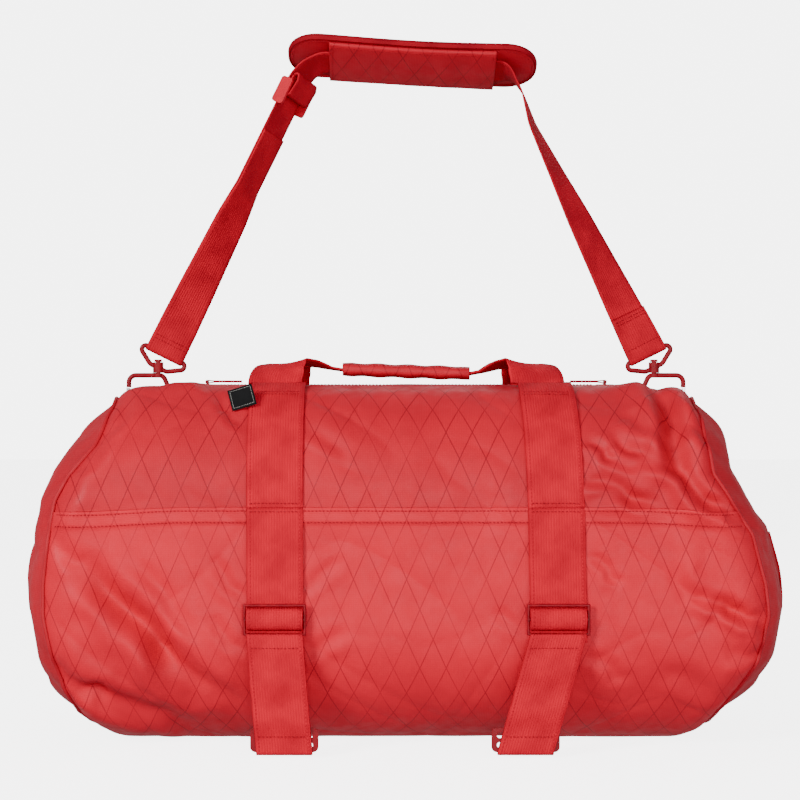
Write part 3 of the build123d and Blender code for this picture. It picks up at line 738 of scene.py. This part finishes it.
def patch(name, xs, ys, height, material, body, thick=0.0016, **kw):
    """A nearly flat piece of cloth over a rectangle seen from above."""
    x, y = np.meshgrid(xs, ys)
    z = height(x, y)
    return shell(name, np.stack([x, y, z], -1), np.stack([x, y], -1), material, body,
                 (0, 0, -1), thick=thick, **kw)


def level_keys(spine, width):
    """Ribbon keys for webbing whose width runs along the bag."""
    return np.hstack([spine, np.tile([1, 0, 0, width], (len(spine), 1))])


def seam_across(centre, across, out, half):
    """The points of one row of stitches that crosses a strap."""
    t = np.linspace(-half, half, 12)[:, None]
    return np.asarray(centre) + np.asarray(across) * t, np.broadcast_to(out, (12, 3))


# ---- top: zipped flaps, zip and sunken ends
FLAP_HALF = 0.185
FLAP_IN, FLAP_OUT = 0.0120, 0.0556
TAPE_IN, TAPE_OUT = 0.003, 0.024
COIL_PITCH = 0.0024
STUB_IN, STUB_OUT = 0.1868, 0.2046     # the fixed stretch of zip past a flap
TOP_IN, TOP_HALF = 0.2052, 0.0605      # the sunken cloth at an end
PIN_X, PIN_HIGH = 0.197, 0.343         # a zip slider's pin
RING_X, RING_BAR = 0.250, 0.296        # a D-ring's bar
GRAB_LOW, GRAB_HIGH = 0.085, 0.195     # the grab strap on an end


def tape_height(x, y):
    return np.full_like(x, 0.3376)


for side, word in SIDE_NAMES.items():
    body = f"{word}_flap"
    ys = side * np.linspace(FLAP_IN, FLAP_OUT, 22)

    def flap_height(x, y):
        wave = value_noise(x * 1000 / 46 + 7, y * 1000 / 30 + 5, 2) - 0.5
        inside = smooth((np.abs(y) - FLAP_IN) / 0.010) * smooth((FLAP_OUT - np.abs(y)) / 0.010)
        return 0.3397 + 0.0020 * wave * inside

    patch(f"{word}_flap_cloth", np.linspace(-FLAP_HALF, FLAP_HALF, 190), ys, flap_height, UPPER, body,
          replaces=(f"{word}_flap",))
    xs = np.linspace(-0.183, 0.183, 90)
    line = np.stack([xs, np.full(90, side * 0.0155), np.full(90, 0.3400)], -1)
    stitches(f"{word}_flap_thread", [(line, np.tile([0, 0, 1.0], (90, 1)))], body)
    patch(f"{word}_zip_tape_cloth", np.linspace(-FLAP_HALF, FLAP_HALF, 120),
          side * np.linspace(TAPE_IN, TAPE_OUT, 6), tape_height, TAPE, body, thick=0.0008,
          replaces=(f"{word}_zip_tape",))


def coil(name, x0, x1, side, body, **kw):
    """A nylon coil, wound along one edge of the zip."""
    turns = np.arange(0, (x1 - x0) / COIL_PITCH, 1 / 9)
    turn = turns * 2 * math.pi
    path = np.stack([x0 + turns * COIL_PITCH, side * (0.0025 + 0.0014 * np.cos(turn)),
                     0.33745 + 0.0009 * np.sin(turn)], -1)
    tube(name, path, 0.00036, ZIP, body, sides=5, **kw)


for side, word in SIDE_NAMES.items():
    coil(f"{word}_zip_teeth", -0.1848, 0.1848, side, f"{word}_flap", replaces=(f"{word}_zip_coil",))
for word, sign in WORDS.items():
    x0, x1 = sorted((sign * STUB_IN, sign * STUB_OUT))
    for side, part in SIDE_NAMES.items():
        patch(f"zip_end_{part}_{word}", np.linspace(x0, x1, 8), side * np.linspace(TAPE_IN, TAPE_OUT, 6),
              tape_height, TAPE, "bag", thick=0.0008, replaces=("zip_ends",))
        coil(f"zip_end_teeth_{part}_{word}", x0, x1, side, "bag")
    path = np.array([[sign * STUB_OUT, -0.0035, 0.3378], [sign * TOP_IN, 0, 0.3382],
                     [sign * STUB_OUT, 0.0035, 0.3378]])
    tube(f"zip_stop_{word}", catmull(path, 9), 0.0011, ZIP, "bag")

    y = np.linspace(-TOP_HALF, TOP_HALF, 60)
    run = HALF_RUN - np.abs(y)[:, None] * np.ones((1, 64))
    far = np.abs(end_x(run[:, 0], sign))[:, None]
    x = sign * (TOP_IN + (far - TOP_IN) * np.linspace(0, 1, 64)[None, :])
    points = np.where((y < 0)[:, None, None], skin(x, run, -1), skin(x, run, 1))
    shell(f"top_end_cloth_{word}", points, np.stack(np.broadcast_arrays(x, y[:, None]), -1), UPPER, "bag",
          CORE, replaces=(f"top_end_{word}",))
    for side, part in SIDE_NAMES.items():
        y = np.linspace(FLAP_IN, TOP_HALF, 14)
        x = sign * np.linspace(STUB_IN, 0.2060, 8)
        points = skin(x[None, :] * np.ones((14, 1)), HALF_RUN - y[:, None] * np.ones((1, 8)), side)
        shell(f"top_end_{part}_{word}", points, points[..., :2], UPPER, "bag", CORE)

    # a pull: a folded webbing tab on the slider's pin
    pin_x, reach = sign * PIN_X, -sign
    lower = [(0.0340, 0.34290, 0.0080), (0.0070, 0.34290, 0.0080), (0.0055, 0.3427, 0.0034)]
    upper = [(0.0055, 0.3440, 0.0034), (0.0070, 0.34390, 0.0080), (0.0340, 0.34390, 0.0080)]
    fold = [(-0.0017 * math.cos(a), PIN_HIGH + 0.0017 * math.sin(a), 0.0034)
            for a in np.linspace(-1.2, 1.2, 9)]
    keys = [(pin_x + reach * out, 0, z, 0, 1, 0, width) for out, z, width in lower + fold + upper]
    ribbon(f"zip_pull_tab_{word}", keys, TAPE, f"pull_{word}", step=0.0008, reach=0.001, thick=0.0011,
           cols=5, replaces=(f"zip_pull_{word}",))

    # the D-ring's tab, folded round its bar
    x = sign * RING_X
    keys = [(x + sign * 0.046, 0, 0.2912), (x + sign * 0.012, 0, 0.2912), (x + sign * 0.004, 0, 0.2923)]
    keys += [(x + sign * 0.0034 * math.sin(a), 0, RING_BAR - 0.0034 * math.cos(a))
             for a in np.linspace(0.1, -math.pi - 0.5, 14)]
    keys += [(x + sign * 0.009, 0, 0.2958), (x + sign * 0.016, 0, 0.2932), (x + sign * 0.046, 0, 0.2930)]
    keys = [k + (0, 1, 0, 0.034) for k in keys]
    ribbon(f"d_ring_tab_{word}", keys, WEB38, "bag", step=0.001, reach=0.002, replaces=("d_ring_tabs",))

    # the grab strap sewn on the end
    z = np.linspace(GRAB_LOW, GRAB_HIGH, 40)
    x = outline(z, sign) + end_lump(np.zeros(40), z, sign) - 0.0040
    bulge = 0.0008 * np.sin(np.linspace(0, math.pi, 40))
    keys = np.stack([sign * (x + bulge), 0 * z, z, 0 * z, 0 * z + 1, 0 * z, 0 * z + 0.030], -1)
    ribbon(f"end_grab_{word}", keys, WEB38, "bag", reach=0.015, thick=0.0018, replaces=("end_grab_straps",))
    rows = []
    for h in (0.089, 0.093, 0.187, 0.191):
        out = outline(h, sign) + end_lump(np.zeros(1), h, sign)[0] - 0.0030
        rows.append(seam_across((sign * out, 0, h), (0, 1, 0), (sign, 0, 0), 0.013))
    stitches(f"end_grab_thread_{word}", rows, "bag")

# ---- webbing sewn on the front and the back
TOP_RUN = float(RUNS[3] + TOP_R * math.acos((0.0765 - FLAT_TOP) / TOP_R))


def sewn_strap(name, x0, x1, side, run0, run1, lift=0.0026, **kw):
    """Webbing that lies on the bag between two places round its section."""
    run = np.linspace(run0, run1, 90)
    x = np.linspace(x0, x1, 90)
    spine = skin(x, run, side, lift)
    return ribbon(name, level_keys(spine, WIDE), WEB50, "bag", reach=0.020, cols=11, **kw)


def strap_row(x, run, side, lift=0.0038, half=0.0225):
    """A row of stitches across webbing that lies on the bag."""
    xs = np.linspace(x - half, x + half, 14)
    return skin(xs, np.full(14, run), side, lift), skin_normal(xs, np.full(14, run), side)


SEWN = {"left": (-0.1215, -0.1200, -0.1195), "right": (0.1315, 0.1365, 0.1390)}
HANDLE_X = 0.125
for word, (x_top, x_seam, x_low) in SEWN.items():
    cut = float(seam_run(np.array(x_seam)))
    sewn_strap(f"front_webbing_{word}", x_top, x_seam, -1, TOP_RUN, cut - 0.001, replaces=("front_webbing",))
    sewn_strap(f"lash_anchor_{word}", x_seam, x_low, -1, cut + 0.0005, 0.2180, lift=0.0036,
               replaces=("lash_anchors",))
    rows = [strap_row(x_top, TOP_RUN - d, -1) for d in (0.030, 0.034)]
    rows += [strap_row(x_seam, cut + 0.004, -1), strap_row(x_seam, cut - 0.0035, -1, 0.0048)]
    stitches(f"front_strap_thread_{word}", rows, "bag")
    sign = WORDS[word]
    sewn_strap(f"back_webbing_{word}", sign * HANDLE_X, sign * HANDLE_X, 1, TOP_RUN, 0.1717,
               replaces=("back_webbing",))
    rows = [strap_row(sign * HANDLE_X, r, 1) for r in (TOP_RUN - 0.030, TOP_RUN - 0.034, 0.179, 0.183)]
    stitches(f"back_strap_thread_{word}", rows, "bag")

# a plain woven tag beside the left strap, standing a little off the cloth
TAG_PLACE = np.array([-0.1530, -0.1235, 0.3270])
TAG_WIDE = unit([math.cos(0.26), 0.05, math.sin(0.26)])
TAG_UP = unit(np.cross(unit([0.05, -0.90, 0.42]), TAG_WIDE))
TAG_OUT = np.cross(TAG_WIDE, TAG_UP)
TAG_OUT = TAG_OUT if TAG_OUT[1] < 0 else -TAG_OUT


def tag_point(a, b, lift):
    a, b = np.asarray(a, float)[..., None], np.asarray(b, float)[..., None]
    curl = 0.0018 * (b / 0.0105) ** 2 + 0.0008 * np.sin(a * 160)
    return TAG_PLACE + a * TAG_WIDE + b * TAG_UP + (curl + lift) * TAG_OUT


a, b = np.meshgrid(np.linspace(-0.0118, 0.0118, 14), np.linspace(-0.0105, 0.0105, 14))
shell("woven_tag", tag_point(a, b, 0.0), np.stack([a, b], -1), TAG, "bag", CORE, thick=0.0009,
      replaces=("woven_label",))
corners = np.array([(-1, -1), (1, -1), (1, 1), (-1, 1), (-1, -1)], float) * (0.0098, 0.0086)
spots = np.vstack([corners[i] + (corners[i + 1] - corners[i]) * np.linspace(0, 1, 9)[:-1, None]
                   for i in range(4)] + [corners[-1:]])
border = tag_point(spots[:, 0], spots[:, 1], 0.0003), np.tile(TAG_OUT, (len(spots), 1))
stitches("woven_tag_border", [border], "bag", TAG_MARK, pitch=0.0016, share=0.7, radius=0.0003)

# ---- lash straps
LASH_Y = -0.171
LASH_TOP = 0.1125
LASH_LOW = 0.0055
LASH_R = 0.0024                  # half the gap between a tail's two layers
ROLL_MIDDLE, ROLL_HALF = 0.1258, 0.0092
LEANS = {"left": (-0.120, 0.009), "right": (0.138, -0.030)}
for word, (x0, lean) in LEANS.items():
    s = np.linspace(0, 1, 60)
    phase = 0.0 if lean > 0 else 1.9
    wave = 0.0030 * np.sin(math.pi * s) + 0.0011 * np.sin(19 * s + phase) * np.sin(math.pi * s) ** 0.5
    x = x0 + lean * s
    z = LASH_TOP + (LASH_LOW - LASH_TOP) * s
    turn = np.linspace(0, math.pi, 12)[1:-1]
    flat = np.zeros_like(turn)
    rows = [np.stack([x, LASH_Y - LASH_R - wave, z], -1),
            np.stack([flat + x0 + lean, LASH_Y - LASH_R * np.cos(turn),
                      LASH_LOW - LASH_R * np.sin(turn)], -1),
            np.stack([x, LASH_Y + LASH_R - 0.7 * wave, z], -1)[::-1],
            np.stack([flat + x0, LASH_Y + LASH_R * np.cos(turn), LASH_TOP + LASH_R * np.sin(turn)], -1)]
    spine = np.vstack(rows)
    ribbon(f"lash_tail_{word}", level_keys(spine, 0.0498), WEB50, f"lash_strap_{word}", step=0.0012,
           reach=0.0012, thick=0.0015, cols=11, square=False, replaces=(f"lash_strap_{word}",))
    rows = [seam_across((x0 + lean * d, LASH_Y - LASH_R - 0.0011 - np.interp(d, s, wave),
                         LASH_TOP + (LASH_LOW - LASH_TOP) * d), (1, 0, 0), (0, -1, 0), 0.0225)
            for d in (0.115, 0.865)]
    stitches(f"lash_tail_thread_{word}", rows, f"lash_strap_{word}")
    turn = np.linspace(1.75, -1.75, 30)
    spine = np.stack([np.full(30, x0), LASH_Y + 0.001 - 0.0064 * np.cos(turn),
                      ROLL_MIDDLE + ROLL_HALF * np.sin(turn)], -1)
    ribbon(f"lash_roll_web_{word}", level_keys(spine, WIDE), WEB50, f"lash_slide_{word}", step=0.001,
           reach=0.001, cols=11, replaces=(f"lash_roll_{word}",))

# ---- carry handles
GRIP_Y = 0.023
GRIP_HIGH = 0.3581
GRIP_HALF = 0.062
GRIP_LIP = 0.0615                # where its closed ends start


def grip_sag(x):
    """The grip hangs a little, more towards the right."""
    inner = smooth((0.110 - np.abs(x)) / 0.045)
    return -inner * (0.0030 + 0.0040 * np.clip((x + 0.062) / 0.124, 0, 1))


for side, word in SIDE_NAMES.items():
    leg = [((0.125, 0.0812, 0.3405), (1, 0, 0), 0.050), ((0.125, 0.0755, 0.3450), (1, 0, 0.02), 0.050),
           ((0.124, 0.0690, 0.3500), (1, 0, 0.06), 0.050), ((0.121, 0.0610, 0.3560), (1, 0.05, 0.14), 0.050),
           ((0.113, 0.0500, 0.3620), (1, 0.5, 0.16), 0.046), ((0.096, 0.0360, 0.3625), (1, 1.2, 0.10), 0.036),
           ((0.078, 0.0260, 0.3595), (0.3, 1, 0), 0.030), ((0.060, 0.0230, 0.3575), (0, 1, 0), 0.028)]
    keys = []
    for s, part in ((-1, leg), (1, leg[::-1])):
        for (x, y, z), (ax, ay, az), width in part:
            keys.append((s * x, side * y, z + float(grip_sag(np.array(s * x))),
                         -s * ax, ay * side, az, width))
    handle = ribbon(f"{word}_handle_band", keys, WEB50, None, step=0.0025, reach=0.006, thick=0.0018,
                    cols=11, bow=0.0012, replaces=(f"{word}_handle_webbing",))
    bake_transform(handle)

turn = np.linspace(0, 2 * math.pi, 56, endpoint=False)
rings = []
for x in np.concatenate([[-GRIP_LIP], np.linspace(-GRIP_HALF, GRIP_HALF, 64), [GRIP_LIP]]):
    end = x in (-GRIP_LIP, GRIP_LIP)
    pinch = 1 - 0.10 * smooth((np.abs(x) - 0.050) / 0.012)
    wide = 0.0150 if end else (0.0182 + 0.0006 * math.sin(x * 150)) * pinch
    high = 0.0022 if end else (0.0066 + 0.0005 * math.sin(x * 210 + 1)) * pinch
    y = -GRIP_Y + wide * signed_power(np.cos(turn), 0.7)
    z = GRIP_HIGH + float(grip_sag(np.array(x))) + high * signed_power(np.sin(turn), 0.75)
    rings.append(np.stack([np.full(56, x), y, z], -1))
grip = wrap("grip_wrap_cloth", rings, GRIP, "front_handle", replaces=("front_grip_wrap",))
xs = np.linspace(-0.060, 0.060, 50)
line = np.stack([xs, np.full(50, -GRIP_Y - 0.0150), GRIP_HIGH + grip_sag(xs) + 0.0052], -1)
stitches("grip_wrap_thread", [(line, np.tile([0, -0.7, 0.7], (50, 1)))], "front_handle")

# ---- shoulder strap
SLOPE = math.radians(26.3)
TWISTS = {"left": [(15, 0), (42, 12), (60, 22), (115, 37), (165, 47), (200, 62), (258, 62), (318, 62)],
          "right": [(15, 0), (42, 12), (60, 20), (115, 36), (165, 47), (215, 62), (270, 75)]}
AT_BAR = 0.0035
LAID = 0.0011
BAR_ALONG = 0.015


def leg_frame(side, along, twist):
    """Centre, direction, width direction and face of a strap leg; along in metres from its swivel."""
    up = np.array([-side * math.sin(SLOPE), 0, math.cos(SLOPE)])
    flat = np.array([side * math.cos(SLOPE), 0, math.sin(SLOPE)])
    turn = math.radians(twist)
    across = flat * math.cos(turn) + np.array([0, side, 0]) * math.sin(turn)
    centre = np.array([side * (0.246 - along * math.sin(SLOPE)), 0, 0.357 + along * math.cos(SLOPE)])
    return centre, up, across, np.cross(up, across)


def leg_keys(word, which, top):
    keys = []
    for along, twist in TWISTS[word]:
        if along <= top:
            centre, up, across, face = leg_frame(WORDS[word], along * 0.001, twist)
            shift = which * (AT_BAR if along == 15 else LAID)
            keys.append(np.concatenate([centre + face * shift, across, [NARROW]]))
    return keys


def square_to(v, ahead):
    v = np.asarray(v, float)
    return unit(v - ahead * np.dot(v, ahead))


PAD_TILT = math.radians(23)
PAD_LEFT, PAD_RIGHT = np.array([-0.084, 0, 0.660]), np.array([0.096, 0, 0.651])
PAD_ALONG = unit(PAD_RIGHT - PAD_LEFT)
PAD_FACE = square_to((0, -math.sin(PAD_TILT), -math.cos(PAD_TILT)), PAD_ALONG)
PAD_ACROSS = np.cross(PAD_ALONG, PAD_FACE)
PAD_MIDDLE = (PAD_LEFT + PAD_RIGHT) / 2


def bend_key(place, across, width=NARROW):
    return np.concatenate([np.asarray(place, float), unit(across), [width]])


over = [bend_key((-0.097, 0, 0.653), (-0.25, -0.9, 0.33)), bend_key(PAD_LEFT, -PAD_ACROSS),
        bend_key(PAD_RIGHT, -PAD_ACROSS), bend_key((0.106, 0, 0.646), (-0.1, -0.95, 0.1)),
        bend_key((0.116, 0, 0.630), (-0.1, -1, -0.05))]
back_down = [np.concatenate([k[:3], -k[3:6], k[6:]]) for k in leg_keys("right", 1, 300)[::-1]]
ribbon("shoulder_band", leg_keys("left", -1, 320) + over + back_down, WEB38, "shoulder_strap", reach=0.006,
       cols=11, replaces=("shoulder_webbing",))
for word, side in WORDS.items():
    front = leg_keys(word, -side, 258 if side < 0 else 60)[::-1]
    centre, up, across, face = leg_frame(side, BAR_ALONG, 0)
    keys = front
    for a in np.linspace(0, math.pi, 12)[1:]:
        place = centre - up * AT_BAR * math.sin(a) + face * (-side) * AT_BAR * math.cos(a)
        keys.append(np.concatenate([place, across, [NARROW]]))
    ribbon(f"shoulder_fold_{word}", keys, WEB38, "shoulder_strap", step=0.0016, reach=0.0016, cols=11,
           replaces=(f"webbing_fold_{word}",))
    rows = []
    for along in (0.026, 0.053, 0.056) if side > 0 else (0.026, 0.030):
        twist = np.interp(along * 1000, *zip(*TWISTS[word]))
        c, u, ac, fc = leg_frame(side, along, twist)
        shift = np.interp(along * 1000, [15, 42], [AT_BAR, LAID])
        rows.append(seam_across(c + fc * -side * (shift + 0.0010), ac, fc * -side, 0.0165))
    stitches(f"shoulder_fold_thread_{word}", rows, "shoulder_strap")

# the adjuster's loop: webbing round its middle bar, slack in front
centre, up, across, face = leg_frame(-1, 0.300, 62)
bar_out = 0.0010 + 0.0008 + 0.0003 + 0.00175 + 0.0016    # laid webbing, half of it, a gap, bar, webbing
BAR_WRAP = 0.00255
turn = np.linspace(math.pi / 2, 3 * math.pi / 2, 10)
keys = [centre + up * t + face * (bar_out - BAR_WRAP) for t in (0.018, 0.011)]
keys += [centre + up * BAR_WRAP * math.cos(a) - face * (BAR_WRAP * math.sin(a) - bar_out) for a in turn]
keys += [centre + up * 0.008 + face * (bar_out + 0.0040), centre + up * 0.015 + face * (bar_out + 0.0046),
         centre + up * 0.0205 + face * (bar_out + 0.0028), centre + up * 0.0212 + face * (bar_out + 0.0006),
         centre + up * 0.0190 + face * (bar_out - 0.0018)]
keys = [np.concatenate([k, across, [NARROW]]) for k in keys]
ribbon("adjuster_band", keys, WEB38, "adjuster", step=0.0008, reach=0.0012, cols=9,
       replaces=("adjuster_loop",))


def pad_point(u, v, w):
    """A place on the shoulder pad: along, across and out of its face, with its slight waves."""
    u, v, w = np.broadcast_arrays(np.asarray(u, float), v, w)
    wave = 0.0016 * np.sin((u + 0.06) / 0.042) + 0.0012 * np.sin((u * 0.6 - v) / 0.03)
    return (PAD_MIDDLE + u[..., None] * PAD_ALONG + v[..., None] * PAD_ACROSS
            + (w + wave * 0.6)[..., None] * PAD_FACE)


PAD_HALF, PAD_WIDE, PAD_R = 0.122, 0.034, 0.031
FOAM_OUT, FOAM_HALF = -0.0068, 0.0035
SLEEVE_HALF = 0.082


def pad_half_width(u, grow=0.0):
    """Half the pad's width at a distance along it, with its rounded ends."""
    into = np.clip(np.abs(u) - (PAD_HALF - PAD_R), 0, PAD_R)
    return PAD_WIDE - PAD_R + np.sqrt(np.maximum((PAD_R + grow) ** 2 - into ** 2, 1e-9))


rings = []
turn = np.linspace(0, 2 * math.pi, 60, endpoint=False)
for u in PAD_HALF * np.sin(np.linspace(-1, 1, 110) * math.pi / 2) * 0.9995:
    half = float(pad_half_width(u))
    high = FOAM_HALF * min(1.0, (half / 0.020) ** 0.4)
    v = half * signed_power(np.cos(turn), 0.8)
    w = FOAM_OUT + high * signed_power(np.sin(turn), 0.55) * (1 - 0.35 * (np.abs(v) / half) ** 6)
    rings.append(pad_point(u, v, w))
foam = wrap("pad_cushion", rings, FELT, "shoulder_pad", replaces=("pad_foam",))
angle = np.linspace(-math.pi / 2, math.pi / 2, 30)
corner = PAD_HALF - PAD_R
edge = [(corner + PAD_R * math.cos(a), PAD_R * math.sin(a) + (0.003 if a > 0 else -0.003)) for a in angle]
edge += [(t, 0.034) for t in np.linspace(corner, -corner, 60)[1:-1]]
edge += [(-x, -y) for x, y in edge[:30]] + [(t, -0.034) for t in np.linspace(-corner, corner, 60)[1:-1]]
edge = np.array(edge)
tangent = np.roll(edge, -1, axis=0) - np.roll(edge, 1, axis=0)
outward = unit(np.stack([tangent[:, 1], -tangent[:, 0]], -1))
ring = []
for a in np.linspace(0, 2 * math.pi, 12, endpoint=False):
    spot = edge + outward * (0.0002 + 0.0016 * math.cos(a))
    ring.append(pad_point(spot[:, 0], spot[:, 1], FOAM_OUT + 0.0034 * math.sin(a)))
ring = np.stack(ring, axis=1)
uvs = np.stack(np.broadcast_arrays(np.linspace(-0.004, 0.004, 12)[None, :],
                                   np.arange(len(edge))[:, None] * 0.0038), -1)
make("pad_edge_binding", ring, grid_faces(len(edge), 12, wrap_rows=True, wrap_cols=True), TAPE,
     "shoulder_pad", uvs=uvs, replaces=("pad_binding",))
inner = edge - outward * 0.0030
stitches("pad_edge_thread", [(pad_point(inner[:, 0], inner[:, 1], FOAM_OUT + 0.0034),
                              np.tile(PAD_FACE, (len(inner), 1)))], "shoulder_pad")
rings = []
turn = np.linspace(0, 2 * math.pi, 64, endpoint=False)
for u in np.linspace(-SLEEVE_HALF, SLEEVE_HALF, 120):
    bulge = 0.0010 * (value_noise(np.array(u * 1000 / 17), np.array(3.0), 1) - 0.5)
    v = 0.0327 * signed_power(np.cos(turn), 0.85)
    w = -0.0006 + (0.0029 + bulge + 0.0006 * np.cos(v / 0.034 * 1.5)) * signed_power(np.sin(turn), 0.6)
    rings.append(pad_point(u, v, w))
sleeve = wrap("pad_sleeve_cloth", rings, GRIP, "shoulder_pad", caps=False, replaces=("pad_sleeve",))
solid = sleeve.modifiers.new("cloth", "SOLIDIFY")
solid.thickness = 0.0008
rows = []
for u in (-0.0790, 0.0790):
    v = np.linspace(-0.029, 0.029, 20)
    rows.append((pad_point(np.full(20, u), v, 0.0030), np.tile(PAD_FACE, (20, 1))))
for v in (-0.0300, 0.0300):
    u = np.linspace(-0.079, 0.079, 60)
    rows.append((pad_point(u, np.full(60, v), 0.0020), np.tile(PAD_FACE, (60, 1))))
stitches("pad_sleeve_thread", rows, "shoulder_pad")

# ---- hardware keeps its CAD shape and gets its finish
FINISHES = {"swivel_eye": METAL, "snap_hook": METAL, "d_ring": METAL, "lash_slide": METAL, "lash_ring": METAL,
            "strap_adjuster": BUCKLE, "zip_slider": METAL, "hook_gate": STEEL, "base_board": BOARD}
for name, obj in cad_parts.items():
    for start, finish in FINISHES.items():
        if name.startswith(start) and name != "d_ring_tabs":
            obj.data.materials.clear()
            obj.data.materials.append(finish)

# floor, light and camera
ground = bpy.data.meshes.new("ground")
ground.from_pydata([(-6, -4, 0), (6, -4, 0), (6, 9, 0), (-6, 9, 0)], [], [(0, 1, 2, 3)])
p = Paint("pale_floor")
shade = p.noise(p.place(uv=False), 1.5, 3)
floor_mat = p.finish(p.blend(p.ramp(shade, 0.3, 0.7), (0.93, 0.93, 0.93, 1), (0.90, 0.90, 0.90, 1)), 0.8,
                     Emission_Color=(1, 1, 1, 1), Emission_Strength=4.6)
ground.materials.append(floor_mat)
floor_obj = bpy.data.objects.new("floor", ground)
bpy.context.collection.objects.link(floor_obj)
floor_obj.visible_diffuse = False
floor_obj.visible_glossy = False

world = bpy.data.worlds.new("studio")
world.use_nodes = True
sky = world.node_tree.nodes["Background"]
ray = world.node_tree.nodes.new("ShaderNodeLightPath")
level = world.node_tree.nodes.new("ShaderNodeMapRange")
level.inputs["To Min"].default_value = 0.46
level.inputs["To Max"].default_value = 5.6
world.node_tree.links.new(ray.outputs["Is Camera Ray"], level.inputs["Value"])
world.node_tree.links.new(level.outputs["Result"], sky.inputs["Strength"])
sky.inputs["Color"].default_value = (1, 1, 1, 1)
bpy.context.scene.world = world


def area(name, place, aim, size, power):
    data = bpy.data.lights.new(name, "AREA")
    data.size = size
    data.energy = power
    obj = bpy.data.objects.new(name, data)
    obj.location = place
    obj.rotation_euler = (Vector(aim) - Vector(place)).to_track_quat("-Z", "Y").to_euler()
    bpy.context.collection.objects.link(obj)


area("key", (-1.8, -2.1, 1.2), (0, 0, 0.2), 0.8, 92)
area("fill", (1.9, -2.2, 0.6), (0, 0, 0.2), 1.5, 26)
area("low", (0.2, -2.3, 0.16), (0, 0, 0.1), 1.0, 44)
area("rim", (0.4, 1.8, 1.6), (0, 0, 0.3), 1.4, 9)

CAMERA_X = -0.006
CAMERA_HIGH = 0.325
CAMERA_AWAY = 2.0
SENSOR, FIELD = 36, 0.794        # millimetres of sensor for metres of view at the bag's middle
camera = bpy.data.cameras.new("camera")
camera.lens = SENSOR * CAMERA_AWAY / FIELD
camera.sensor_width = SENSOR
view = bpy.data.objects.new("camera", camera)
view.location = (CAMERA_X, -CAMERA_AWAY, CAMERA_HIGH)
view.rotation_euler = (math.pi / 2, 0, 0)
bpy.context.collection.objects.link(view)
bpy.context.scene.camera = view
